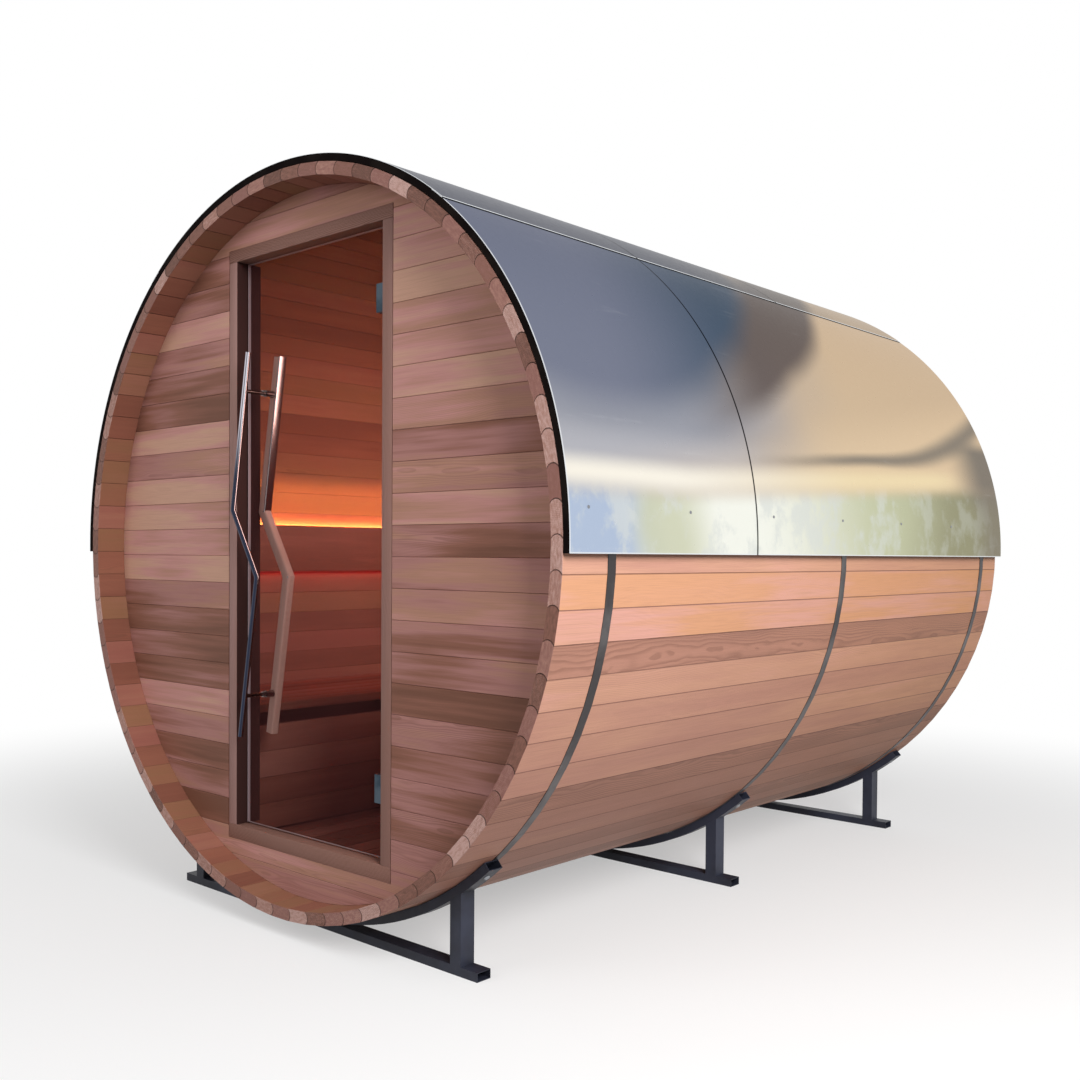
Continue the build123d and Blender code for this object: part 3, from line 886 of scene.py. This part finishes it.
# a bar of one section along a bent line in a plane of constant y, mitred at its bends
def bentBar(name, points, section, material):
    rings = []
    for index, point in enumerate(points):
        before = (point - points[index - 1]).normalized() if index else None
        after = (points[index + 1] - point).normalized() if index + 1 < len(points) else None
        ways = [way for way in (before, after) if way]
        along = sum(ways, Vector()).normalized()
        side = Vector((along.z, 0, -along.x))
        reach = 1 / along.dot(ways[0])
        rings.append([point + side * a * reach + Vector((0, b, 0)) for a, b in section])
    count = len(section)
    bm = bmesh.new()
    made = [[bm.verts.new(v) for v in ring] for ring in rings]
    for a, b in zip(made, made[1:]):
        for i in range(count):
            bm.faces.new((a[i], a[(i + 1) % count], b[(i + 1) % count], b[i]))
    bm.faces.new(made[0][::-1])
    bm.faces.new(made[-1])
    return fromBmesh(bm, name, material)


def roundedSection(width, depth, radius, steps=4):
    points = []
    for cornerX, cornerY, start in ((1, 1, 0), (-1, 1, 90), (-1, -1, 180), (1, -1, 270)):
        for step in range(steps + 1):
            turn = math.radians(start + 90 * step / steps)
            points.append((cornerX * (width / 2 - radius) + radius * math.cos(turn),
                           cornerY * (depth / 2 - radius) + radius * math.sin(turn)))
    return points


def rod(bm, start, end, radius, steps=24):
    start, end = Vector(start), Vector(end)
    turn = (end - start).to_track_quat("Z", "Y").to_matrix().to_4x4()
    bmesh.ops.create_cone(bm, cap_ends=True, segments=steps, radius1=radius, radius2=radius,
                          depth=(end - start).length, matrix=Matrix.Translation((start + end) / 2) @ turn)


# where the bolts go through: one on the bar's first stretch, one on its last
def studSpots():
    spots = []
    for height, (a, b) in zip(handles["studHeights"], (barPoints[:2], barPoints[:1:-1])):
        z = axisHeight + height
        share = (z - a.z) / (b.z - a.z)
        spots.append(Vector((a.x + (b.x - a.x) * share, 0, z)))
    return spots


def makeOuterHandle():
    low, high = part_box("door_handle_outer")
    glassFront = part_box("door_glass")[0].y
    radius, steps = handles["outerRadius"], handles["roundSteps"]
    barY = low.y + radius
    circle = [(radius * math.cos(math.tau * i / steps), radius * math.sin(math.tau * i / steps))
              for i in range(steps)]
    bar = bentBar("outerBar", [Vector((p.x, barY, p.z)) for p in barPoints], circle, chrome)
    smoothByAngle(bar, 50)
    turns = [(index % steps) / steps for index in range(len(bar.data.vertices))]
    setAttribute(bar.data, "barTurn", "FLOAT", turns)
    place(bar, "door", "handle_chrome", "door_handle_outer")
    bm = bmesh.new()
    for spot in studSpots():
        rod(bm, (spot.x, barY, spot.z), (spot.x, high.y, spot.z), handles["studRadius"])
        rod(bm, (spot.x, glassFront - handles["bossHeight"], spot.z), (spot.x, glassFront, spot.z),
            handles["bossRadius"])
    place(smoothByAngle(fromBmesh(bm, "outerStuds", satinChrome)), "door", "handle_chrome")


def makeInnerHandle():
    low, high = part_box("door_handle_inner")
    middle, depth = (low.y + high.y) / 2, high.y - low.y
    points = [Vector((p.x, middle, p.z)) for p in barPoints]
    bar = bentBar("innerBar", points, roundedSection(handles["innerWidth"], depth, handles["innerRound"]),
                  handleCedar)
    proud = handles["stripProud"]
    aside = Vector(((handles["innerWidth"] - handles["stripWidth"]) / 2 + proud, 0, 0))
    strip = roundedSection(handles["stripWidth"], depth + 2 * proud, handles["stripRound"])
    metal = bentBar("innerBarStrip", [p + aside for p in points[:2]], strip, stripMetal)
    place(smoothByAngle(metal, 40), "door", "handle_chrome")
    spots = [v.co.copy() for v in bar.data.vertices]
    setAttribute(bar.data, "grain", "FLOAT_VECTOR", [(p.x, p.y - middle, p.z) for p in spots])
    for name in ("boardSeed", "boardTone"):
        setAttribute(bar.data, name, "FLOAT", [0.5] * len(spots))
    place(smoothByAngle(bar, 40), "door", "handle_wood", "door_handle_inner")
    screw = panHead(handles["bendScrew"], handles["bendScrewHeight"])
    bends = [(Vector((p.x + handles["bendScrewAside"], low.y + handles["sunk"], p.z)), Vector((0, -1, 0)))
             for p in barPoints[1:3]]
    place(fixings("bendScrews", screw, bends, stripMetal), "door", "handle_chrome")


makeOuterHandle()
makeInnerHandle()
print("handles made")


# roof: two courses of sheet down each side, three along the ridge, and a row of screws over each eave

roof = {
    "ridgeAngle": 38.2,
    "course": 0.800,
    "joint": 0.001,
    "lap": 0.045,
    "thickness": 0.001,
    "steps": 48,
    "screwRadius": 0.0045,
    "screwHeight": 0.0022,
    "screwAngle": 85.3,
    "screwStep": 0.41,
    "firstScrew": 0.07,
    "screwSunk": 0.0003,
}
sheetLow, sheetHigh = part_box("roof_sheets_right")
sheetInner = sheetHigh.x - roof["thickness"]
eaveAngle = 90 + math.degrees(math.asin((axisHeight - sheetLow.z) / sheetInner))

# The sheets' colours are painted reflections of soft shapes, laid as tones along them: cool and dull high up
# at the front, warm towards the rear, and a pale mottled reflection with a painted highlight band over the
# eave; the laps get painted shadow lines and their folded edges painted highlight. Pairs of numbers are where
# a tone begins and where it is full, in metres from the front end or in degrees from the top.
sheetTones = {
    "roughness": 0.30,
    "highBlue": (0.212, 0.230, 0.305),
    "steelBlue": (0.090, 0.128, 0.185),
    "dusk": (0.165, 0.135, 0.128),
    "paleGrey": (0.360, 0.370, 0.420),
    "coolGrey": (0.500, 0.500, 0.540),
    "sand": (0.680, 0.530, 0.370),
    "cream": (0.860, 0.680, 0.470),
    "grey": (0.290, 0.255, 0.215),
    "highlightFront": (1.000, 0.950, 0.840),
    "highlightRear": (0.900, 0.760, 0.500),
    "eaveReflectionBlue": (0.480, 0.570, 0.730),
    "eaveReflectionWhite": (0.950, 0.960, 0.880),
    "eaveReflectionGreen": (0.620, 0.640, 0.450),
    "olive": (0.380, 0.370, 0.245),
    "speckle": (0.740, 0.770, 0.740),
    "ridgeFront": (0.190, 0.195, 0.225),
    "ridgeRear": (0.330, 0.290, 0.235),
    "seamShadowColor": (0.010, 0.010, 0.012),
    "edgeHighlight": (0.900, 0.920, 0.940),
    "scratch": (0.850, 0.870, 0.880),
    "sandFrom": (0.5, 1.6),
    # lines that climb or fall to the rear: degrees at the front end, fall per metre, bend
    "coolLine": (70.9, -9.4, 25.2),
    "duskLine": (70.8, -4.8, 13.3),
    "darkReflectionLine": (78.6, 0.9, 1.0),
    "duskFrom": (-22.0, -12.0),     # degrees from its line
    "duskUntil": (1.5, 7.5),
    "darkLineDropFrom": 1.7,
    "darkLineDrop": 8.0,
    "bandAngle": 80.9,
    "bandFall": 2.6,
    "bandHalfWidth": 3.0,
    "bandGap": 0.85,                # the band is weaker near this place
    "greenPatch": ((0.22, 0.34), (0.42, 0.60)),
    "greenFrom": (0.78, 1.6),
    "oliveFrom": (1.5, 2.2),
    "tail": (2.15, 2.5),
    "plainRidge": (33.0, 20.0),
}


# how many degrees a spot lies below a line
def pastLine(name, angle, length, clouds, wavy=6.0):
    start, fall, bend = sheetTones[name]
    line = start - length * fall - length * length * bend
    return angle + clouds * wavy - line


# painted reflection: the two large soft fields and the dusky streak between them
def reflectionFields(tree, angle, length, clouds):
    look = sheetTones
    color = mixColors(tree, (length + clouds * 0.8).remap(*look["sandFrom"]), look["paleGrey"], look["sand"])
    lowFront = angle.remap(73.0, 78.0) * length.remap(0.7, 1.1, 0.9, 0.0)
    color = mixColors(tree, lowFront, color, look["coolGrey"])
    color = mixColors(tree, (angle + length * 9.0).remap(78.0, 90.0, 0.0, 0.55), color, look["cream"])
    pastDusk = pastLine("duskLine", angle, length, clouds)
    dusk = pastDusk.remap(*look["duskFrom"]) * pastDusk.remap(*look["duskUntil"], 1.0, 0.0)
    color = mixColors(tree, dusk * length.remap(0.45, 1.05, 0.0, 0.95), color, look["dusk"])
    deeper = (length + (angle - 50.0) * 0.006).remap(0.30, 1.05)
    blue = mixColors(tree, deeper, look["highBlue"], look["steelBlue"])
    cool = pastLine("coolLine", angle, length, clouds).remap(-4.5, 4.5, 1.0, 0.0)
    return mixColors(tree, cool, color, blue)


# a painted dark reflection line that drops away at the rear
def darkReflectionLine(tree, color, angle, length, clouds):
    look = sheetTones
    rearPart = calc(tree, "MAXIMUM", length - look["darkLineDropFrom"], 0.0)
    away = abs(rearPart * rearPart * look["darkLineDrop"] + pastLine("darkReflectionLine", angle, length, clouds, 1.8))
    width = length.remap(1.5, 2.5, 1.6, 4.0)
    line = away.remap(0.0, width, 1.0, 0.0) * length.remap(0.65, 1.5, 0.0, 0.9)
    return mixColors(tree, line, color, look["grey"])


# the mottled painted reflection over the eave, from blue and white at the front to green and olive at the
# rear
def eaveReflectionColor(tree, spot, length, clouds):
    look = sheetTones
    reflected = mixColors(tree, (length + clouds * 0.3).remap(0.20, 0.42), look["eaveReflectionBlue"], look["eaveReflectionWhite"])
    spread = length + clouds * 0.4
    patchStart, patchEnd = look["greenPatch"]
    patch = spread.remap(*patchStart) * spread.remap(*patchEnd, 0.8, 0.0)
    reflected = mixColors(tree, patch, reflected, look["eaveReflectionGreen"])
    reflected = mixColors(tree, spread.remap(*look["greenFrom"]), reflected, look["eaveReflectionGreen"])
    reflected = mixColors(tree, spread.remap(*look["oliveFrom"]), reflected, look["olive"])
    blotches = noise(spot, (8.0, 8.0, 7.0), 5.0, 0.65)
    speckle = blotches.remap(0.46, 0.62, 0.0, 0.65) * length.remap(1.3, 2.1, 1.0, 0.4)
    reflected = mixColors(tree, speckle, reflected, look["speckle"])
    return mixColors(tree, length.remap(2.25, 2.55, 0.0, 0.7), reflected, look["grey"])


# the painted reflection over the eave, with a painted highlight band along its upper edge
def highlightBandAndReflection(tree, color, spot, angle, length, clouds):
    look = sheetTones
    fall = calc(tree, "MAXIMUM", length - 0.5, 0.0) * look["bandFall"]
    below = angle - (look["bandAngle"] - fall)
    color = mixColors(tree, below.remap(0.0, 4.0), color, eaveReflectionColor(tree, spot, length, clouds))
    nearGap = abs(length - look["bandGap"])
    strength = length.remap(2.0, 2.4, 1.0, 0.0) * nearGap.remap(0.1, 0.5, 0.80, 0.95)
    highlightBand = abs(below).remap(0.0, look["bandHalfWidth"], 1.0, 0.0) * strength
    highlightColor = mixColors(tree, length.remap(0.4, 1.5), look["highlightFront"], look["highlightRear"])
    color = mixColors(tree, highlightBand, color, highlightColor)
    tail = length.remap(*look["tail"]) * (angle.remap(66.0, 70.0) * angle.remap(76.0, 84.0, 1.0, 0.0))
    return mixColors(tree, tail, color, look["grey"])


# the ridge sheets are duller, a plainer painted reflection; every lap has a painted shadow line with a
# painted highlight on its folded edge, and the eave and front edges get painted highlight
def ridgeAndLaps(tree, color, angle, length):
    look, edge = sheetTones, roof["ridgeAngle"]
    ridge = angle.remap(edge - 0.02, edge + 0.02, 1.0, 0.0, False)
    plain = mixColors(tree, length.remap(0.9, 2.4), look["ridgeFront"], look["ridgeRear"])
    cover = calc(tree, "MAXIMUM", length.remap(1.0, 2.3, 0.90, 0.35),
                 angle.remap(look["plainRidge"][1], look["plainRidge"][0], 1.0, 0.0))
    color = mixColors(tree, ridge * cover, color, plain)
    foldHighlight = ridge * angle.remap(edge - 0.34, edge - 0.24)
    seamShadow = (1.0 - ridge) * angle.remap(edge + 0.28, edge + 0.46, 1.0, 0.0)
    for count, mask in ((1, 1.0), (2, ridge)):
        away = abs(length - (count * (roof["course"] + roof["joint"]) - roof["joint"] / 2))
        seamShadow = calc(tree, "MAXIMUM", seamShadow, away.remap(0.0024, 0.0046, 1.0, 0.0) * mask)
    rimHighlight = calc(tree, "MAXIMUM", length.remap(0.002, 0.004, 1.0, 0.0),
               angle.remap(eaveAngle - 0.22, eaveAngle - 0.12))
    color = mixColors(tree, calc(tree, "MAXIMUM", foldHighlight, rimHighlight * 0.8), color, look["edgeHighlight"])
    return mixColors(tree, seamShadow * 0.92, color, look["seamShadowColor"])


def sheetMaterial():
    material, tree, shader = newMaterial("sheetMetal", Metallic=1.0)
    spot = objectSpot(tree)
    x, y, z = splitVector(spot)
    angle = calc(tree, "DEGREES", calc(tree, "ARCTAN2", abs(x), z - axisHeight))
    length = y - frontEnd
    clouds = noise(spot, (1.1, 1.3, 1.8)) - 0.5
    color = reflectionFields(tree, angle, length, clouds)
    color = darkReflectionLine(tree, color, angle, length, clouds)
    color = highlightBandAndReflection(tree, color, spot, angle, length, clouds)
    color = ridgeAndLaps(tree, color, angle, length)
    scratches = noise(spot, (26.0, 3.0, 30.0), 3.0, 0.7)
    color = mixColors(tree, scratches.remap(0.62, 0.80, 0.0, 0.08), color, sheetTones["scratch"])
    feed(shader.inputs["Base Color"], color)
    pale = mixColors(tree, 0.4, color, (1.0, 1.0, 1.0))
    feed(shader.inputs["Specular Tint"], pale)    # keeps its colour when seen along the sheet
    grime = noise(spot, (60.0, 60.0, 60.0), 3.0)
    feed(shader.inputs["Roughness"], sheetTones["roughness"] - 0.06 + grime * 0.12)
    bump(shader, noise(spot, (3.0, 2.2, 3.0)), 0.25, 0.003)
    return material


sheetMetal = sheetMaterial()
screwSteel = plainFinish("screwSteel", (0.30, 0.31, 0.33), 0.30, 1.0)


def curvedSheet(bm, radius, start, end, y0, y1):
    outer = radius + roof["thickness"]
    rows = []
    for step in range(roof["steps"] + 1):
        outward = outwardAt(start + (end - start) * step / roof["steps"])
        rows.append([bm.verts.new(Vector((0, y, axisHeight)) + outward * r)
                     for r, y in ((radius, y0), (outer, y0), (outer, y1), (radius, y1))])
    for a, b in zip(rows, rows[1:]):
        for i in range(4):
            bm.faces.new((a[i], a[(i + 1) % 4], b[(i + 1) % 4], b[i]))
    bm.faces.new(rows[0])
    bm.faces.new(rows[-1][::-1])


# sheets between two angles, one for each stretch of the roof's length
def sheetCourse(name, node, radius, start, end, stretches):
    bm = bmesh.new()
    for y0, y1 in stretches:
        curvedSheet(bm, radius, start, end, y0, y1)
    place(smoothByAngle(fromBmesh(bm, name, sheetMetal), 30), "barrel", "roof_steel", node)


def makeRoof():
    lap = math.degrees(roof["lap"] / sheetInner)
    ridgeAngle, course, step = roof["ridgeAngle"], roof["course"], roof["course"] + roof["joint"]
    for side, name in ((-1, "left"), (1, "right")):
        angles = sorted((side * (ridgeAngle - lap), side * eaveAngle))
        sheetCourse("sideSheets_" + name, "roof_sheets_" + name, sheetInner, *angles,
                    ((frontEnd, frontEnd + course), (frontEnd + step, rearEnd)))
    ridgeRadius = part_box("roof_sheets_ridge")[1].z - axisHeight - roof["thickness"]
    sheetCourse("ridgeSheets", "roof_sheets_ridge", ridgeRadius, -ridgeAngle, ridgeAngle,
                ((frontEnd, frontEnd + course), (frontEnd + step, frontEnd + step + course),
                 (frontEnd + 2 * step, rearEnd)))


def roofScrews():
    spots = []
    for side in (-1, 1):
        outward = outwardAt(roof["screwAngle"] * side)
        for index in range(round((rearEnd - frontEnd) / roof["screwStep"])):
            y = frontEnd + roof["firstScrew"] + index * roof["screwStep"]
            spots.append((Vector((0, y, axisHeight)) + outward * (sheetHigh.x - roof["screwSunk"]), outward))
    head = panHead(roof["screwRadius"], roof["screwHeight"])
    place(fixings("roofScrews", head, spots, screwSteel), "barrel", "roof_steel")


makeRoof()
roofScrews()
print("roof made")


# bolts near the ends of the cradle saddles

saddleBolts = {
    "radius": 0.009,
    "height": 0.005,
    "angle": 141.0,
    "places": (0.157, 1.364, 2.525),      # from the front end
    "reach": (1.0936, 1.0936, 1.0918),    # outer face of each saddle
    "sunk": 0.0006,
}


def makeSaddleBolts():
    spots = []
    for length, reach in zip(saddleBolts["places"], saddleBolts["reach"]):
        for side in (-1, 1):
            outward = outwardAt(saddleBolts["angle"] * side)
            foot = outward * (reach - saddleBolts["sunk"])
            spots.append((Vector((0, frontEnd + length, axisHeight)) + foot, outward))
    head = panHead(saddleBolts["radius"], saddleBolts["height"])
    place(fixings("saddleBolts", head, spots, screwSteel), "barrel", "cradle_steel")


makeSaddleBolts()


# finishes of the solids that stay as they are

lamps = {
    "orange": (1.0, 0.30, 0.06),     # over the backrest
    "red": (0.75, 0.035, 0.045),     # under it
    "strength": 8.0,
}


def lampMaterial():
    material, tree, shader = newMaterial("lampGlow", **{
        "Base Color": (1.0, 0.45, 0.15, 1), "Emission Strength": lamps["strength"]})
    low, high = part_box("backrest_lights")
    height = splitVector(objectSpot(tree))[2].remap(low.z + 0.03, high.z - 0.03)
    feed(shader.inputs["Emission Color"], mixColors(tree, height, lamps["red"], lamps["orange"]))
    return material


# rougher cedar for the pieces behind the boards, with its grain upright
def framingMaterial():
    material, tree, shader = newMaterial("framingCedar", Roughness=0.7)
    streak = noise(objectSpot(tree), (40.0, 40.0, 3.0), 4.0, 0.6)
    tones = [(0.3, (0.20, 0.095, 0.065)), (0.7, (0.38, 0.200, 0.140))]
    feed(shader.inputs["Base Color"], colorRamp(streak, tones))
    bump(shader, streak, 0.3, 0.0008)
    return material


framingCedar = framingMaterial()
lampGlow = lampMaterial()
# near black with almost no shine: the underlay's own black and painted shade between the staves and the
# sheets
underlayBlackAndShade = wornMetal("underlayBlackAndShade", (0.006, 0.004, 0.004), (0.012, 0.009, 0.008), 0.90, 9.0, 0.0, 0.05)
hoopSteel = wornMetal("hoopSteel", (0.085, 0.078, 0.080), (0.17, 0.16, 0.16), 0.42, 5.0)
cradleSteel = wornMetal("cradleSteel", (0.016, 0.017, 0.026), (0.040, 0.045, 0.070), 0.42, 3.0, 0.0, 0.30)
brushedSteel = wornMetal("brushedSteel", (0.035, 0.055, 0.075), (0.075, 0.100, 0.125), 0.34, 14.0)

keptFinishes = {
    "bench_frame": framingCedar, "floor_bearers": framingCedar, "backrest_blocks": framingCedar,
    "backrest_lights": lampGlow,
    "roof_underlay_left": underlayBlackAndShade, "roof_underlay_ridge": underlayBlackAndShade,
    "roof_underlay_right": underlayBlackAndShade,
    "hoops": hoopSteel, "cradle_saddles": cradleSteel, "cradle_rails": cradleSteel,
    "cradle_posts": cradleSteel,
    "door_hinge_clamps": brushedSteel, "jamb_hinge_leaves": brushedSteel, "door_handle_bosses": satinChrome,
}
for node, material in keptFinishes.items():
    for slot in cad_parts[node].material_slots:
        slot.material = material
print("finishes set")


# stage, light and camera

studio = {
    "floorSize": 60.0,
    "floorColor": (0.88, 0.88, 0.88),
    "floorBounce": (0.22, 0.20, 0.19),    # the darker ground that the object's own light comes back from
    "whiteFrom": (1.6, 4.5),              # distances between which the floor fades into the background
    "worldStrength": 0.36,
    "keyPower": 300.0,
    "fillPower": 72.0,
    "insidePower": 10.2,
    "glowPower": 10.0,
    "washPower": 2.2,
    "stripLength": 2.26,
}


# 1 for rays that should see the plain white background
def whiteRays(tree):
    path = addNode(tree, "ShaderNodeLightPath")
    camera, glossy, through = (Field(tree, path.outputs[f"Is {kind} Ray"])
                               for kind in ("Camera", "Glossy", "Transmission"))
    return calc(tree, "MAXIMUM", calc(tree, "MAXIMUM", camera, glossy), through), path


def makeFloor():
    half = studio["floorSize"] / 2
    floor = makeObject("floor", [(-half, -half, 0), (half, -half, 0), (half, half, 0), (-half, half, 0)],
                       [(0, 1, 2, 3)])
    material, tree, shader = newMaterial("paleFloor", Roughness=0.9)
    white, path = whiteRays(tree)
    distance = addNode(tree, "ShaderNodeVectorMath", operation="LENGTH")
    feed(distance.inputs[0], objectSpot(tree))
    far = Field(tree, distance.outputs["Value"]).remap(*studio["whiteFrom"], 0.45, 1.0)
    bounced = Field(tree, path.outputs["Is Diffuse Ray"])
    feed(shader.inputs["Base Color"], mixColors(tree, bounced, studio["floorColor"], studio["floorBounce"]))
    plainWhite = addNode(tree, "ShaderNodeEmission")
    plainWhite.inputs["Strength"].default_value = 1.0
    mix = addNode(tree, "ShaderNodeMixShader")
    feed(mix.inputs[0], far * white)
    tree.links.new(shader.outputs[0], mix.inputs[1])
    tree.links.new(plainWhite.outputs[0], mix.inputs[2])
    tree.links.new(mix.outputs[0], tree.nodes["Material Output"].inputs["Surface"])
    floor.data.materials.append(material)


def makeWorld():
    world = bpy.data.worlds.new("studioWorld")
    bpy.context.scene.world = world
    world.use_nodes = True
    background = world.node_tree.nodes["Background"]
    background.inputs["Color"].default_value = (1, 1, 1, 1)
    white = whiteRays(world.node_tree)[0]
    feed(background.inputs["Strength"], studio["worldStrength"] + white * (1.0 - studio["worldStrength"]))


def softLamp(name, spot, target, size, power, color=(1, 1, 1), length=None, spread=180, glossy=True):
    lamp = bpy.data.lights.new(name, "AREA")
    lamp.shape = "RECTANGLE"
    lamp.size = size
    lamp.size_y = length or size
    lamp.spread = math.radians(spread)
    lamp.energy = power
    lamp.color = color
    piece = bpy.data.objects.new(name, lamp)
    bpy.context.scene.collection.objects.link(piece)
    piece.visible_camera = False
    piece.visible_glossy = glossy
    piece.location = spot
    piece.rotation_euler = (Vector(target) - Vector(spot)).to_track_quat("-Z", "Y").to_euler()


def lightStage():
    softLamp("key", (4.8, -2.4, 3.3), (0.8, -0.3, 1.0), 2.4, studio["keyPower"], glossy=False)
    softLamp("fill", (-1.5, -6.0, 3.0), (0.0, -1.3, 1.0), 3.0, studio["fillPower"], glossy=False)
    softLamp("inside", (0.62, 0.0, axisHeight + 0.45), (-0.9, 0.0, axisHeight + 0.18), 1.8,
             studio["insidePower"], (1.0, 0.61, 0.53), 0.5, 80)
    stripLow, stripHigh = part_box("backrest_lights")
    glowSpot = Vector((stripLow.x - 0.006, 0, stripHigh.z - 0.010))
    softLamp("glow", glowSpot, glowSpot + Vector((-0.0001, 0, 1)), studio["stripLength"],
             studio["glowPower"], (1.0, 0.42, 0.12), 0.012)
    washSpot = Vector((-0.78, 0, stripHigh.z + 0.115))
    softLamp("wash", washSpot, washSpot - Vector((1, 0, 0)), studio["stripLength"],
             studio["washPower"], (1.0, 0.40, 0.13), 0.02, 48)


viewpoint = {
    "spot": (2.746, -3.293, 1.0965),
    "yaw": 43.0,
    "pitch": -1.21,
    "roll": 0.35,
    "lens": 38.88,
    "shift": (0.0349, 0.0370),
}


def makeCamera():
    yaw, pitch, roll = (math.radians(viewpoint[key]) for key in ("yaw", "pitch", "roll"))
    forward = Vector((-math.sin(yaw) * math.cos(pitch), math.cos(yaw) * math.cos(pitch), math.sin(pitch)))
    level = Vector((math.cos(yaw), math.sin(yaw), 0))
    up = level.cross(forward)
    right = level * math.cos(roll) + up * math.sin(roll)
    top = up * math.cos(roll) - level * math.sin(roll)
    camera = bpy.data.cameras.new("camera")
    camera.sensor_fit = "HORIZONTAL"
    camera.sensor_width = 36.0
    camera.lens = viewpoint["lens"]
    camera.shift_x, camera.shift_y = viewpoint["shift"]
    camera.clip_start = 0.05
    camera.clip_end = 200.0
    piece = bpy.data.objects.new("camera", camera)
    bpy.context.scene.collection.objects.link(piece)
    turn = Matrix((right, top, -forward)).transposed().to_4x4()
    piece.matrix_world = Matrix.Translation(viewpoint["spot"]) @ turn
    bpy.context.scene.camera = piece


makeFloor()
makeWorld()
lightStage()
makeCamera()
bpy.context.scene.view_settings.view_transform = "Standard"
print("stage made")
